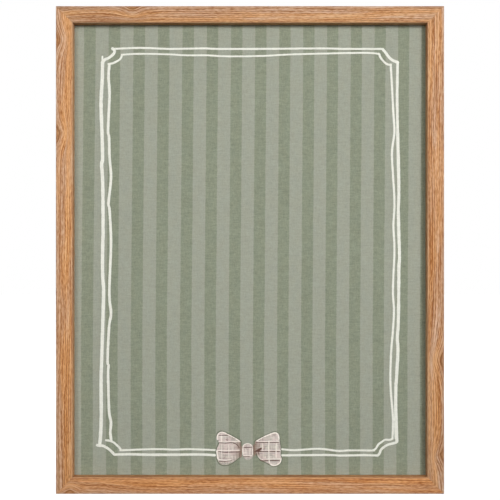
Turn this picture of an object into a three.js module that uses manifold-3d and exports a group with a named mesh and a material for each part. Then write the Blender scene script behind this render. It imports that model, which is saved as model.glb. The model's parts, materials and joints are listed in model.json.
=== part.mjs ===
// A framed fabric memo board. Four mitred, rebated rails are pinned at the corners with V-nails. A printed
// fabric is stretched over a soft pin board and laid in the rebate, a hardboard panel closes the back, and
// turn buttons hold it in. Two D-ring hangers carry the board and two bumpers keep it off the wall.
//
// Millimetres, +Z up. The front faces -Y and the plane Y = 0 is the wall. The origin is the point on the
// wall midway between the two hooks that the rings hang on.
import * as THREE from "three";
import { mergeVertices } from "three/addons/utils/BufferGeometryUtils.js";
import Module from "manifold-3d";

const wasm = await Module();
wasm.setup();

// The frame
const FRAME_WIDTH = 390;
const FRAME_HEIGHT = 490;
const RAIL_FACE = 17; // width of the moulding, seen from the front
const LIP_DEPTH = 9; // from the front face back to the fabric
const REBATE_WIDTH = 5; // how far the lip reaches over the insert
const EDGE_RADIUS = 1; // on both front edges of the moulding
const EDGE_STEPS = 4;
const MITRE_GAP = 0.1; // between two rails, measured along a rail

// The insert, from front to back
const FABRIC_THICKNESS = 0.6;
const PIN_BOARD_THICKNESS = 6;
const BACK_THICKNESS = 3;
const BACK_RECESS = 0.3; // the panel lies this far below the rear faces of the rails
const HEM_WIDTH = 18; // fabric folded onto the rear of the pin board
const HEM_SLIT = 0.6; // where two folded hems meet at a corner
const INSERT_PLAY = 0.8; // round the insert, inside the rebate
const INSERT_CORNER_RADIUS = 1.5;
const BACK_CORNER_RADIUS = 3;
const LAYER_GAP = 0.1; // between flat pieces that lie on each other

// V-nails, one across each mitre
const NAIL_LEG = 6;
const NAIL_THICKNESS = 0.8;
const NAIL_HEIGHT = 10;
const NAIL_INSET = 9; // from the outer edges of the frame to the bend
const NAIL_SINK = 0.3; // below the rear faces of the rails
const NAIL_CLEARANCE = 0.15;

// Screws, for the turn buttons and the hangers alike
const SCREW_RADIUS = 1.4;
const SCREW_LENGTH = 12; // below the head
const SCREW_TIP = 3;
const SCREW_HEAD_RADIUS = 2.7;
const SCREW_HEAD_HEIGHT = 1.8;
const SCREW_RIM = 0.5; // straight edge of the head, below its dome
const SCREW_DOME_STEPS = 3;
const SCREW_SIDES = 14;
const SCREW_SLOT_WIDTH = 0.8; // each bar of the cross recess
const SCREW_SLOT_LENGTH = 3.2;
const SCREW_SLOT_DEPTH = 1.1;
const PILOT_CLEARANCE = 0.2; // round the screw in the wood
const SCREW_HOLE_CLEARANCE = 0.35; // round the screw in sheet metal

// Turn buttons
const BUTTON_THICKNESS = 1;
const BUTTON_PIVOT_RADIUS = 4.5;
const BUTTON_TIP_RADIUS = 3;
const BUTTON_REACH = 18; // from the pivot to the end of the tip
const BUTTON_TIP_LENGTH = 5; // the end that is bent up for a finger
const BUTTON_TIP_LIFT = 1.2;
const BUTTON_ARC_STEPS = 8;
const STILE_BUTTON_SPREAD = 230; // between the two buttons on a stile

// Hangers
const HANG_DROP = 70; // from the top of the frame down to the hooks
const STRAP_WIDTH = 7.5;
const STRAP_THICKNESS = 0.8;
const STRAP_LENGTH = 20; // from the bar of the ring to the lower end
const STRAP_SCREW_DROP = 14; // from the bar of the ring to the screw
const STRAP_FOLD_ANGLE = THREE.MathUtils.degToRad(35); // slope of the upper layer below the loop
const STRAP_LOOP_STEPS = 10;
const STRAP_END_STEPS = 8;
const RING_WIRE_RADIUS = 0.85;
const RING_REACH = 9.5; // from the bar to the top of the ring, on the wire's centre line
const RING_CORNER_RADIUS = 1.8;
const RING_LOOP_CLEARANCE = 0.3; // round the bar, inside the strap
const RING_SIDE_CLEARANCE = 0.3; // between the ring and the edges of the strap
const RING_REST_GAP = 0.3; // between the ring and the wood it leans on
const RING_STEPS = 40;
const RING_SIDES = 8;

// Bumpers
const BUMPER_HEIGHT = 4.5;
const BUMPER_RADIUS = 5;
const BUMPER_FACE_RADIUS = 3.8; // the flat end that rests on the wall
const BUMPER_SIDES = 20;
const BUMPER_INSET = 30; // from the sides of the frame to the middle of a bumper

// Sizes that follow. Depths count from the rear faces of the rails, negative towards the front.
const REBATE_DEPTH = 2 * FABRIC_THICKNESS + PIN_BOARD_THICKNESS + BACK_THICKNESS + 4 * LAYER_GAP + BACK_RECESS;
const FRAME_DEPTH = LIP_DEPTH + REBATE_DEPTH;
const REAR_FACE = RAIL_FACE - REBATE_WIDTH;
const FASTENER_INSET = REAR_FACE / 2; // screws and bumpers sit in the middle of the rear faces
const INSERT_WIDTH = FRAME_WIDTH - 2 * (REAR_FACE + INSERT_PLAY);
const INSERT_HEIGHT = FRAME_HEIGHT - 2 * (REAR_FACE + INSERT_PLAY);
const FABRIC_FRONT = LAYER_GAP - REBATE_DEPTH;
const PIN_BOARD_FRONT = FABRIC_FRONT + FABRIC_THICKNESS + LAYER_GAP;
const HEM_FRONT = PIN_BOARD_FRONT + PIN_BOARD_THICKNESS + LAYER_GAP;
const FABRIC_REAR = HEM_FRONT + FABRIC_THICKNESS;
const BACK_FRONT = FABRIC_REAR + LAYER_GAP;
const STRAP_LOOP_RADIUS = RING_WIRE_RADIUS + RING_LOOP_CLEARANCE;
const STRAP_STACK = 2 * STRAP_THICKNESS + LAYER_GAP; // the two layers under the screw
const RING_BAR_DEPTH = LAYER_GAP + STRAP_THICKNESS + STRAP_LOOP_RADIUS;
const RING_HALF_WIDTH = STRAP_WIDTH / 2 + RING_SIDE_CLEARANCE + RING_WIRE_RADIUS;
const RING_LEAN = Math.asin((RING_BAR_DEPTH - RING_WIRE_RADIUS - RING_REST_GAP) / RING_REACH);
const RING_BAR_DROP = (RING_REACH - RING_WIRE_RADIUS) * Math.cos(RING_LEAN); // from the hook to the bar
const BOARD_DROP = FRAME_HEIGHT / 2 - HANG_DROP; // from the hooks to the middle of the board
const BUTTON_SCREW_SEAT = BUTTON_THICKNESS + 2 * LAYER_GAP;
const STRAP_SCREW_SEAT = STRAP_STACK + 2 * LAYER_GAP;

// Materials
const oak = new THREE.MeshStandardMaterial({ color: 0xc39166, roughness: 0.62, metalness: 0 });
const canvas = new THREE.MeshStandardMaterial({ color: 0x979c8a, roughness: 0.95, metalness: 0 });
const cork = new THREE.MeshStandardMaterial({ color: 0xb98a5a, roughness: 0.95, metalness: 0 });
const hardboard = new THREE.MeshStandardMaterial({ color: 0x6e4c33, roughness: 0.7, metalness: 0 });
const zinc = new THREE.MeshStandardMaterial({ color: 0xb9bbb8, roughness: 0.35, metalness: 1 });
const rubber = new THREE.MeshStandardMaterial({ color: 0x4a4743, roughness: 0.8, metalness: 0 });

// Turns a geometry into a solid that can be cut.
function solidOf(geometry) {
  const bare = geometry.clone();
  bare.deleteAttribute("normal");
  bare.deleteAttribute("uv");
  const merged = mergeVertices(bare);
  const vertProperties = merged.getAttribute("position").array;
  const triVerts = Uint32Array.from(merged.index.array);
  return new wasm.Manifold(new wasm.Mesh({ numProp: 3, vertProperties, triVerts }));
}

// Turns a solid back into a geometry.
function geometryOf(solid) {
  const mesh = solid.getMesh();
  const geometry = new THREE.BufferGeometry();
  geometry.setAttribute("position", new THREE.BufferAttribute(mesh.vertProperties, 3));
  geometry.setIndex(new THREE.BufferAttribute(mesh.triVerts, 1));
  geometry.computeVertexNormals();
  return geometry;
}

function cut(geometry, cutters) {
  const left = cutters.reduce((solid, cutter) => solid.subtract(solidOf(cutter)), solidOf(geometry));
  return geometryOf(left);
}

function common(first, second) {
  return geometryOf(solidOf(first).intersect(solidOf(second)));
}

function addMesh(parent, name, geometry, material) {
  const mesh = new THREE.Mesh(geometry, material);
  mesh.name = name;
  parent.add(mesh);
  return mesh;
}

// Extrudes an outline drawn in X and Z backwards along Y, from one depth to another.
function slab(outline, front, rear, steps) {
  const settings = { depth: rear - front, bevelEnabled: false, curveSegments: steps };
  const geometry = new THREE.ExtrudeGeometry(outline, settings);
  geometry.rotateX(Math.PI / 2);
  geometry.translate(0, rear, 0);
  return geometry;
}

// Extrudes a profile drawn in Z and Y along X, centred.
function strip(profile, width) {
  const geometry = new THREE.ExtrudeGeometry(profile, { depth: width, bevelEnabled: false });
  geometry.translate(0, 0, -width / 2);
  geometry.rotateY(-Math.PI / 2);
  return geometry;
}

function rectangle(width, height, radius) {
  const x = width / 2;
  const z = height / 2;
  const outline = new THREE.Shape();
  outline.absarc(x - radius, z - radius, radius, 0, Math.PI / 2);
  outline.absarc(radius - x, z - radius, radius, Math.PI / 2, Math.PI);
  outline.absarc(radius - x, radius - z, radius, Math.PI, Math.PI * 1.5);
  outline.absarc(x - radius, radius - z, radius, Math.PI * 1.5, Math.PI * 2);
  outline.closePath();
  return outline;
}

// The outline of a bent strip of sheet metal, from the centre line it follows and its thickness.
function bentStrip(line, thickness) {
  const near = [];
  const far = [];
  line.forEach((point, i) => {
    const before = line[Math.max(i - 1, 0)];
    const after = line[Math.min(i + 1, line.length - 1)];
    const arriving = (i > 0 ? point.clone().sub(before) : after.clone().sub(point)).normalize();
    const leaving = (i < line.length - 1 ? after.clone().sub(point) : arriving.clone()).normalize();
    const along = arriving.clone().add(leaving).normalize();
    const across = new THREE.Vector2(-along.y, along.x).multiplyScalar(thickness / 2 / along.dot(leaving));
    near.push(point.clone().add(across));
    far.unshift(point.clone().sub(across));
  });
  return new THREE.Shape([...near, ...far]);
}

// A point on a side of the frame: quarter turns from the top, distance along it, distance from its edge.
function sidePoint(turn, along, inset) {
  const reach = (turn % 2 === 0 ? FRAME_HEIGHT : FRAME_WIDTH) / 2 - inset;
  return new THREE.Vector3(along, 0, reach).applyAxisAngle(new THREE.Vector3(0, 1, 0), turn * (Math.PI / 2));
}

// Cross-section of the moulding: X is outward with 0 at the outer edge, Y is depth.
function railProfile() {
  const profile = new THREE.Shape();
  profile.moveTo(0, 0);
  profile.lineTo(-REAR_FACE, 0);
  profile.lineTo(-REAR_FACE, -REBATE_DEPTH);
  profile.lineTo(-RAIL_FACE, -REBATE_DEPTH);
  profile.absarc(EDGE_RADIUS - RAIL_FACE, EDGE_RADIUS - FRAME_DEPTH, EDGE_RADIUS, Math.PI, Math.PI * 1.5);
  profile.absarc(-EDGE_RADIUS, EDGE_RADIUS - FRAME_DEPTH, EDGE_RADIUS, Math.PI * 1.5, Math.PI * 2);
  profile.closePath();
  return profile;
}

// A rail with both ends cut at 45 degrees: the further in a point lies, the sooner the rail ends there.
function mitredRail(turn) {
  const halfLength = (turn % 2 === 0 ? FRAME_WIDTH : FRAME_HEIGHT) / 2;
  const halfReach = (turn % 2 === 0 ? FRAME_HEIGHT : FRAME_WIDTH) / 2;
  const settings = { depth: 2, bevelEnabled: false, curveSegments: EDGE_STEPS };
  const geometry = new THREE.ExtrudeGeometry(railProfile(), settings);
  const place = geometry.getAttribute("position");
  for (let i = 0; i < place.count; i++) {
    const outward = place.getX(i);
    const end = 1 - place.getZ(i);
    place.setXYZ(i, end * (halfLength + outward - MITRE_GAP / 2), place.getY(i), halfReach + outward);
  }
  geometry.rotateY(turn * (Math.PI / 2));
  return geometry;
}

// An L in plan whose bend lies on the mitre. The clearance makes the slot for it.
function cornerNail(clearance) {
  const near = -clearance;
  const thick = NAIL_THICKNESS + clearance;
  const end = NAIL_LEG + clearance;
  const plan = [[near, near], [end, near], [end, thick], [thick, thick], [thick, end], [near, end]];
  const outline = new THREE.Shape(plan.map(([x, z]) => new THREE.Vector2(x, z)));
  const rear = clearance > 0 ? NAIL_SINK : -NAIL_SINK;
  return slab(outline, -NAIL_SINK - NAIL_HEIGHT - clearance, rear);
}

// A pan-head wood screw whose head lies on Y = 0 and whose tip points to -Y.
function screw() {
  const points = [new THREE.Vector2(0, -SCREW_LENGTH)];
  points.push(new THREE.Vector2(SCREW_RADIUS, SCREW_TIP - SCREW_LENGTH));
  points.push(new THREE.Vector2(SCREW_RADIUS, 0));
  points.push(new THREE.Vector2(SCREW_HEAD_RADIUS, 0));
  for (let i = 0; i <= SCREW_DOME_STEPS; i++) {
    const angle = (i / SCREW_DOME_STEPS) * (Math.PI / 2);
    const height = SCREW_RIM + (SCREW_HEAD_HEIGHT - SCREW_RIM) * Math.sin(angle);
    points.push(new THREE.Vector2(i < SCREW_DOME_STEPS ? SCREW_HEAD_RADIUS * Math.cos(angle) : 0, height));
  }
  const body = new THREE.LatheGeometry(points, SCREW_SIDES);
  const bars = [0, Math.PI / 2].map((turn) => {
    const bar = new THREE.BoxGeometry(SCREW_SLOT_LENGTH, 2 * SCREW_SLOT_DEPTH, SCREW_SLOT_WIDTH);
    bar.rotateY(turn);
    bar.translate(0, SCREW_HEAD_HEIGHT, 0);
    return bar;
  });
  return cut(body, bars);
}

function pilotHole(seat) {
  const front = seat - SCREW_LENGTH - PILOT_CLEARANCE;
  const rear = BUMPER_HEIGHT;
  const radius = SCREW_RADIUS + PILOT_CLEARANCE;
  const hole = new THREE.CylinderGeometry(radius, radius, rear - front, SCREW_SIDES);
  hole.translate(0, (front + rear) / 2, 0);
  return hole;
}

function sheetHole(rear) {
  const radius = SCREW_RADIUS + SCREW_HOLE_CLEARANCE;
  return new THREE.CylinderGeometry(radius, radius, 2 * rear, SCREW_SIDES);
}

// A turn button that lies on Y = 0, turns about its round end at the origin and points to -Z.
function turnButton() {
  const tip = BUTTON_REACH - BUTTON_TIP_RADIUS;
  const taper = Math.asin((BUTTON_PIVOT_RADIUS - BUTTON_TIP_RADIUS) / tip);
  const plan = new THREE.Shape();
  plan.absarc(0, 0, BUTTON_PIVOT_RADIUS, -taper, Math.PI + taper);
  plan.absarc(0, -tip, BUTTON_TIP_RADIUS, Math.PI + taper, Math.PI * 2 - taper);
  plan.closePath();
  const middle = BUTTON_THICKNESS / 2;
  const bend = BUTTON_TIP_LENGTH - BUTTON_REACH;
  const slope = BUTTON_TIP_LIFT / BUTTON_TIP_LENGTH;
  const line = [new THREE.Vector2(2 * BUTTON_PIVOT_RADIUS, middle), new THREE.Vector2(bend, middle)];
  line.push(new THREE.Vector2(bend - 2 * BUTTON_TIP_LENGTH, middle + 2 * slope * BUTTON_TIP_LENGTH));
  const side = strip(bentStrip(line, BUTTON_THICKNESS), 4 * BUTTON_PIVOT_RADIUS);
  const top = BUTTON_THICKNESS + 2 * BUTTON_TIP_LIFT;
  const body = common(slab(plan, -BUTTON_THICKNESS, top, BUTTON_ARC_STEPS), side);
  return cut(body, [sheetHole(top)]);
}

// A strap folded double round the bar of the ring. It lies on Y = 0 with the bar's axis at Z = 0.
function hangerStrap() {
  const barDepth = STRAP_THICKNESS + STRAP_LOOP_RADIUS;
  const bendRadius = STRAP_LOOP_RADIUS + STRAP_THICKNESS / 2;
  const line = [new THREE.Vector2(-2 * STRAP_LENGTH, STRAP_THICKNESS / 2)];
  for (let i = 0; i <= STRAP_LOOP_STEPS; i++) {
    const angle = -Math.PI / 2 + (i / STRAP_LOOP_STEPS) * (Math.PI + STRAP_FOLD_ANGLE);
    line.push(new THREE.Vector2(bendRadius * Math.cos(angle), barDepth + bendRadius * Math.sin(angle)));
  }
  const upper = STRAP_STACK - STRAP_THICKNESS / 2;
  const last = line[line.length - 1];
  const knee = last.x - (last.y - upper) / Math.tan(STRAP_FOLD_ANGLE);
  line.push(new THREE.Vector2(knee, upper), new THREE.Vector2(-2 * STRAP_LENGTH, upper));
  const side = strip(bentStrip(line, STRAP_THICKNESS), STRAP_WIDTH);
  const half = STRAP_WIDTH / 2;
  const plan = new THREE.Shape();
  plan.moveTo(2 * half, STRAP_LENGTH);
  plan.lineTo(-2 * half, STRAP_LENGTH);
  plan.lineTo(-2 * half, half - STRAP_LENGTH);
  plan.lineTo(-half, half - STRAP_LENGTH);
  plan.absarc(0, half - STRAP_LENGTH, half, Math.PI, Math.PI * 2);
  plan.lineTo(2 * half, half - STRAP_LENGTH);
  plan.closePath();
  const top = 2 * (barDepth + bendRadius);
  const body = common(side, slab(plan, -STRAP_THICKNESS, top, STRAP_END_STEPS));
  const hole = sheetHole(top);
  hole.translate(0, 0, -STRAP_SCREW_DROP);
  return cut(body, [hole]);
}

// The centre line of a D-shaped ring: the bar along X at the origin, the bow towards +Z.
class RingLine extends THREE.Curve {
  constructor() {
    super();
    const inner = RING_HALF_WIDTH - RING_CORNER_RADIUS;
    const shoulder = RING_REACH - RING_HALF_WIDTH;
    this.path = new THREE.Path();
    this.path.moveTo(0, 0);
    this.path.lineTo(inner, 0);
    this.path.absarc(inner, RING_CORNER_RADIUS, RING_CORNER_RADIUS, -Math.PI / 2, 0);
    this.path.absarc(0, shoulder, RING_HALF_WIDTH, 0, Math.PI);
    this.path.absarc(-inner, RING_CORNER_RADIUS, RING_CORNER_RADIUS, Math.PI, Math.PI * 1.5);
    this.path.closePath();
  }

  getPoint(t) {
    const point = this.path.getPoint(t);
    return new THREE.Vector3(point.x, 0, point.y);
  }
}

function bumper() {
  const points = [new THREE.Vector2(0, LAYER_GAP), new THREE.Vector2(BUMPER_RADIUS, LAYER_GAP)];
  points.push(new THREE.Vector2(BUMPER_RADIUS, BUMPER_HEIGHT / 2));
  points.push(new THREE.Vector2((BUMPER_RADIUS + BUMPER_FACE_RADIUS) / 2, BUMPER_HEIGHT * 0.9));
  points.push(new THREE.Vector2(BUMPER_FACE_RADIUS, BUMPER_HEIGHT), new THREE.Vector2(0, BUMPER_HEIGHT));
  return new THREE.LatheGeometry(points, BUMPER_SIDES);
}

// A thin sheet over the front and edges of the pin board, folded onto its rear, slit at the folded corners.
function stretchedFabric() {
  const outer = rectangle(INSERT_WIDTH, INSERT_HEIGHT, INSERT_CORNER_RADIUS);
  const wall = FABRIC_THICKNESS;
  const inside = rectangle(INSERT_WIDTH - 2 * wall, INSERT_HEIGHT - 2 * wall, INSERT_CORNER_RADIUS - wall);
  const opening = rectangle(INSERT_WIDTH - 2 * HEM_WIDTH, INSERT_HEIGHT - 2 * HEM_WIDTH, INSERT_CORNER_RADIUS);
  const hollow = slab(inside, FABRIC_FRONT + FABRIC_THICKNESS, HEM_FRONT, EDGE_STEPS);
  const window = slab(opening, PIN_BOARD_FRONT, FABRIC_REAR + FABRIC_THICKNESS, EDGE_STEPS);
  const slits = [];
  for (const side of [-1, 1]) {
    for (const end of [-1, 1]) {
      const slit = new THREE.BoxGeometry(3 * HEM_WIDTH, 2 * FABRIC_THICKNESS, HEM_SLIT);
      slit.rotateY((-side * end * Math.PI) / 4);
      const inset = 1.5 * HEM_WIDTH * Math.SQRT1_2 + 2 * FABRIC_THICKNESS;
      slit.translate(side * (INSERT_WIDTH / 2 - inset), FABRIC_REAR, end * (INSERT_HEIGHT / 2 - inset));
      slits.push(slit);
    }
  }
  return cut(slab(outer, FABRIC_FRONT, FABRIC_REAR, EDGE_STEPS), [hollow, window, ...slits]);
}

const memoBoard = new THREE.Group();
memoBoard.name = "memo_board";
const board = new THREE.Group();
board.name = "board";
board.position.set(0, -BUMPER_HEIGHT, -BOARD_DROP);
memoBoard.add(board);

// Where the fasteners go, in the board's own frame.
const buttonPlaces = [
  { name: "top", turn: 0, along: 0 },
  { name: "right_upper", turn: 1, along: -STILE_BUTTON_SPREAD / 2 },
  { name: "right_lower", turn: 1, along: STILE_BUTTON_SPREAD / 2 },
  { name: "bottom", turn: 2, along: 0 },
  { name: "left_lower", turn: 3, along: -STILE_BUTTON_SPREAD / 2 },
  { name: "left_upper", turn: 3, along: STILE_BUTTON_SPREAD / 2 },
];
const hangerPlaces = [
  { name: "left", x: FASTENER_INSET - FRAME_WIDTH / 2 },
  { name: "right", x: FRAME_WIDTH / 2 - FASTENER_INSET },
];
const ringBarHeight = BOARD_DROP - RING_BAR_DROP;
const cornerPlaces = ["top_right", "bottom_right", "bottom_left", "top_left"].map((name, turn) => ({ name, turn }));

// Pilot holes and nail slots that the rails are cut with.
const cutters = [];
for (const { turn, along } of buttonPlaces) {
  const place = sidePoint(turn, along, FASTENER_INSET);
  cutters.push(pilotHole(BUTTON_SCREW_SEAT).translate(place.x, 0, place.z));
}
for (const { x } of hangerPlaces) {
  cutters.push(pilotHole(STRAP_SCREW_SEAT).translate(x, 0, ringBarHeight - STRAP_SCREW_DROP));
}
for (const { turn } of cornerPlaces) {
  const halfLength = (turn % 2 === 0 ? FRAME_WIDTH : FRAME_HEIGHT) / 2;
  const place = sidePoint(turn, halfLength - NAIL_INSET, NAIL_INSET);
  cutters.push(cornerNail(NAIL_CLEARANCE).rotateY(turn * (Math.PI / 2)).translate(place.x, 0, place.z));
}

["frame_top_rail", "frame_right_stile", "frame_bottom_rail", "frame_left_stile"].forEach((name, turn) => {
  addMesh(board, name, cut(mitredRail(turn), cutters), oak);
});

for (const { name, turn } of cornerPlaces) {
  const halfLength = (turn % 2 === 0 ? FRAME_WIDTH : FRAME_HEIGHT) / 2;
  const nail = addMesh(board, `corner_nail_${name}`, cornerNail(0), zinc);
  nail.rotation.y = turn * (Math.PI / 2);
  nail.position.copy(sidePoint(turn, halfLength - NAIL_INSET, NAIL_INSET));
}

addMesh(board, "printed_fabric", stretchedFabric(), canvas);

const coreInset = 2 * (FABRIC_THICKNESS + LAYER_GAP);
const coreOutline = rectangle(INSERT_WIDTH - coreInset, INSERT_HEIGHT - coreInset, INSERT_CORNER_RADIUS);
const core = slab(coreOutline, PIN_BOARD_FRONT, PIN_BOARD_FRONT + PIN_BOARD_THICKNESS, EDGE_STEPS);
addMesh(board, "pin_board_core", core, cork);

const backOutline = rectangle(INSERT_WIDTH, INSERT_HEIGHT, BACK_CORNER_RADIUS);
addMesh(board, "back_panel", slab(backOutline, BACK_FRONT, BACK_FRONT + BACK_THICKNESS, EDGE_STEPS), hardboard);

for (const { name, turn, along } of buttonPlaces) {
  const fastener = new THREE.Group();
  fastener.name = `fastener_${name}`;
  fastener.position.copy(sidePoint(turn, along, FASTENER_INSET));
  fastener.rotation.y = turn * (Math.PI / 2);
  board.add(fastener);
  addMesh(fastener, `turn_button_${name}`, turnButton(), zinc).position.y = LAYER_GAP;
  addMesh(fastener, `turn_button_screw_${name}`, screw(), zinc).position.y = BUTTON_SCREW_SEAT;
}

for (const { name, x } of hangerPlaces) {
  const hanger = new THREE.Group();
  hanger.name = `hanger_${name}`;
  hanger.position.set(x, 0, ringBarHeight);
  board.add(hanger);
  addMesh(hanger, `hanger_strap_${name}`, hangerStrap(), zinc).position.y = LAYER_GAP;
  const screwMesh = addMesh(hanger, `hanger_screw_${name}`, screw(), zinc);
  screwMesh.position.set(0, STRAP_SCREW_SEAT, -STRAP_SCREW_DROP);
  const wire = new THREE.TubeGeometry(new RingLine(), RING_STEPS, RING_WIRE_RADIUS, RING_SIDES, true);
  const ring = addMesh(hanger, `hanger_ring_${name}`, wire, zinc);
  ring.position.y = RING_BAR_DEPTH;
  ring.rotation.x = RING_LEAN;
}

for (const [name, side] of [["left", -1], ["right", 1]]) {
  const pad = addMesh(board, `wall_bumper_${name}`, bumper(), rubber);
  pad.position.copy(sidePoint(2, -side * (FRAME_WIDTH / 2 - BUMPER_INSET), FASTENER_INSET));
}

export default memoBoard;
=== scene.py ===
import json
import math

import bmesh
import bpy
from mathutils import Matrix, Vector, noise


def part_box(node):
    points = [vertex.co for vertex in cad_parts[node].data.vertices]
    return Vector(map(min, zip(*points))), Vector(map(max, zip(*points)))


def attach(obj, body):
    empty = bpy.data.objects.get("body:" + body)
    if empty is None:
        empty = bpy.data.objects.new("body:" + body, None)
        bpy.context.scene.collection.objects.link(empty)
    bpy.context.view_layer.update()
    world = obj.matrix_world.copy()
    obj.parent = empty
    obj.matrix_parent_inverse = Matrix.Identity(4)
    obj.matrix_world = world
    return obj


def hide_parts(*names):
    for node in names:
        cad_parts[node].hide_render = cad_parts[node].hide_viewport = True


bl_info = {
    "name": "Framed memo board",
    "version": (1, 0, 0),
    "blender": (4, 5, 0),
    "location": "3D View > Sidebar > Memo board",
    "description": "Dresses the CAD frame of a fabric memo board: oak rails, printed canvas and hangers",
    "category": "Object",
}

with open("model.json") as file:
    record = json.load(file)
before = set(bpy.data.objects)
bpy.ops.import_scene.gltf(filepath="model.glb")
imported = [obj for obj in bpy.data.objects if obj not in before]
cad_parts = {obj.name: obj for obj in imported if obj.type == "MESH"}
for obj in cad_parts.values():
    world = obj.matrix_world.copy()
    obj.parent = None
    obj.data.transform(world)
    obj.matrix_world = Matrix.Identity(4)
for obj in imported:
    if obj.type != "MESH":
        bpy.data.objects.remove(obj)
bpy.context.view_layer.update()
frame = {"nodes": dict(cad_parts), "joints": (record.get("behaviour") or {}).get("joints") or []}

# Metres, +Z up, the front faces -Y and the wall is the plane Y = 0.
MM = 0.001
QUARTER_TURN = math.pi / 2
WELD = 0.001 * MM  # points closer than this are one point
BOARD = "board"
SIDES = ("top", "right", "bottom", "left")  # in quarter turns about Y, from the top
STILES = ("left", "right")
RAILS = {side: f"frame_{side}_{'stile' if side in STILES else 'rail'}" for side in SIDES}
CORNERS = ("top_right", "bottom_right", "bottom_left", "top_left")
BUTTONS = ("top", "right_upper", "right_lower", "bottom", "left_lower", "left_upper")
HANGERS = ("left", "right")

# What the scene takes from the frame.
FRAME_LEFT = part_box(RAILS["left"])[0].x
FRAME_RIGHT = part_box(RAILS["right"])[1].x
FRAME_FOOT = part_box(RAILS["bottom"])[0].z
FRAME_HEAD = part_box(RAILS["top"])[1].z
FRAME_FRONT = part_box(RAILS["top"])[0].y
FRAME_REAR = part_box(RAILS["top"])[1].y
FRAME_WIDTH = FRAME_RIGHT - FRAME_LEFT
FRAME_HEIGHT = FRAME_HEAD - FRAME_FOOT
RAIL_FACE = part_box(RAILS["left"])[1].x - FRAME_LEFT
CLOTH_LOW, CLOTH_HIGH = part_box("printed_fabric")
MIDDLE = Vector(((FRAME_LEFT + FRAME_RIGHT) / 2, 0, (FRAME_FOOT + FRAME_HEAD) / 2))
JOINTS = {joint["name"]: joint for joint in frame["joints"]}


def paint(red, green, blue):
    """A colour given as it looks on screen, from 0 to 255, as the linear colour that shaders use."""
    shares = (red / 255, green / 255, blue / 255)
    return tuple(v / 12.92 if v <= 0.04045 else ((v + 0.055) / 1.055) ** 2.4 for v in shares)


def length(name, description, millimetres):
    return bpy.props.FloatProperty(
        name=name, description=description, default=millimetres * MM, precision=5, min=0, unit="LENGTH"
    )


def colour(name, description, *screen):
    return bpy.props.FloatVectorProperty(
        name=name, description=description, default=paint(*screen), size=3, min=0, max=1, subtype="COLOR"
    )


class MemoBoardSizes(bpy.types.PropertyGroup):
    edge_radius: length("Edge radius", "Rounding of both front edges of a rail", 1.0)
    edge_ease: length("Edge ease", "Sanding of the sharp edges of a rail", 0.06)
    mitre_gap: length("Mitre gap", "Half of the hairline between two rails at a mitre", 0.02)
    rebate_width: length("Rebate width", "How far the lip of a rail reaches over the cloth", 5.0)
    metal_ease: length("Metal ease", "Rounding of the edges of stamped sheet metal", 0.12)
    cloth_thickness: length("Cloth thickness", "Thickness of the canvas", 0.6)
    cloth_fold: length("Cloth fold", "Radius at which the canvas turns over the edges of the pin board", 0.9)
    hem_width: length("Hem width", "Canvas folded onto the rear of the pin board", 18.0)
    cloth_ripple: length("Cloth ripple", "How far the stretched canvas strays from flat", 0.06)
    thread_pitch: length("Thread pitch", "Distance between two threads of the canvas", 0.62)
    stripe_pitch: length("Stripe pitch", "Distance between the middles of two dark stripes", 24.49)
    stripe_width: length("Stripe width", "Width of a dark stripe", 11.45)
    stripe_start: length("Stripe start", "From the middle of the board to the middle of a dark stripe", 9.4)
    ring_wire: length("Ring wire", "Diameter of the wire of a hanger ring", 1.7)
    floor_drop: length("Floor drop", "From the lower edge of the board down to the floor", 120.0)
    camera_distance: length("Camera distance", "From the front of the frame to the camera", 850.0)
    camera_lens: bpy.props.FloatProperty(
        name="Lens", description="Focal length of the camera, in millimetres", default=60.98, min=1,
        unit="CAMERA",
    )


class MemoBoardColours(bpy.types.PropertyGroup):
    oak_light: colour("Oak, light", "Pale wood between the grain lines", 221, 180, 146)
    oak_middle: colour("Oak, middle", "Main colour of the oiled oak", 197, 146, 104)
    oak_dark: colour("Oak, dark", "Grain lines and streaks", 150, 92, 47)
    oak_heart: colour("Oak, heart", "Open pores and the rings of knots", 96, 53, 24)
    oak_worn: colour("Oak, worn", "Greyed wood along the handled edges", 172, 150, 130)
    stripe_dark: colour("Dark stripe", "Dark stripe of the canvas", 141, 147, 127)
    stripe_light: colour("Light stripe", "Light stripe of the canvas", 160, 163, 148)
    ink: colour("Border ink", "Cream ink of the painted border", 236, 236, 225)
    ribbon_rose: colour("Ribbon, rose", "Rose tone of the loops of the bow", 220, 203, 196)
    ribbon_grey: colour("Ribbon, grey", "Grey tone of the loops of the bow", 206, 197, 187)
    knot_rose: colour("Knot, rose", "Rose tone of the knot of the bow", 212, 196, 189)
    knot_grey: colour("Knot, grey", "Grey tone of the knot of the bow", 188, 175, 171)
    bow_fold: colour("Bow folds", "Wash where the loops go into the knot", 146, 124, 109)
    bow_shadow: colour("Bow shadow", "Olive shadow printed round the loops", 119, 123, 105)
    check_brown: colour("Check, brown", "Brown lines on the bow", 104, 76, 68)
    check_white: colour("Check, white", "White lines and outline of the bow", 246, 238, 228)
    hardboard: colour("Hardboard", "Brown of the back panel", 136, 98, 68)
    softboard: colour("Softboard", "Tan of the pin board", 176, 140, 98)
    zinc: colour("Zinc", "Zinc plating of the hardware", 196, 198, 194)
    rubber: colour("Rubber", "Dark rubber of the bumpers", 62, 59, 55)
    floor: colour("Floor", "Pale floor under the board", 205, 205, 205)


def sizes():
    return bpy.context.scene.memo_board_sizes


def opaque(tint):
    return (*tint, 1.0)


def shade(name):
    """One of the named colours, as shaders take it."""
    return opaque(getattr(bpy.context.scene.memo_board_colours, name))


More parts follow.
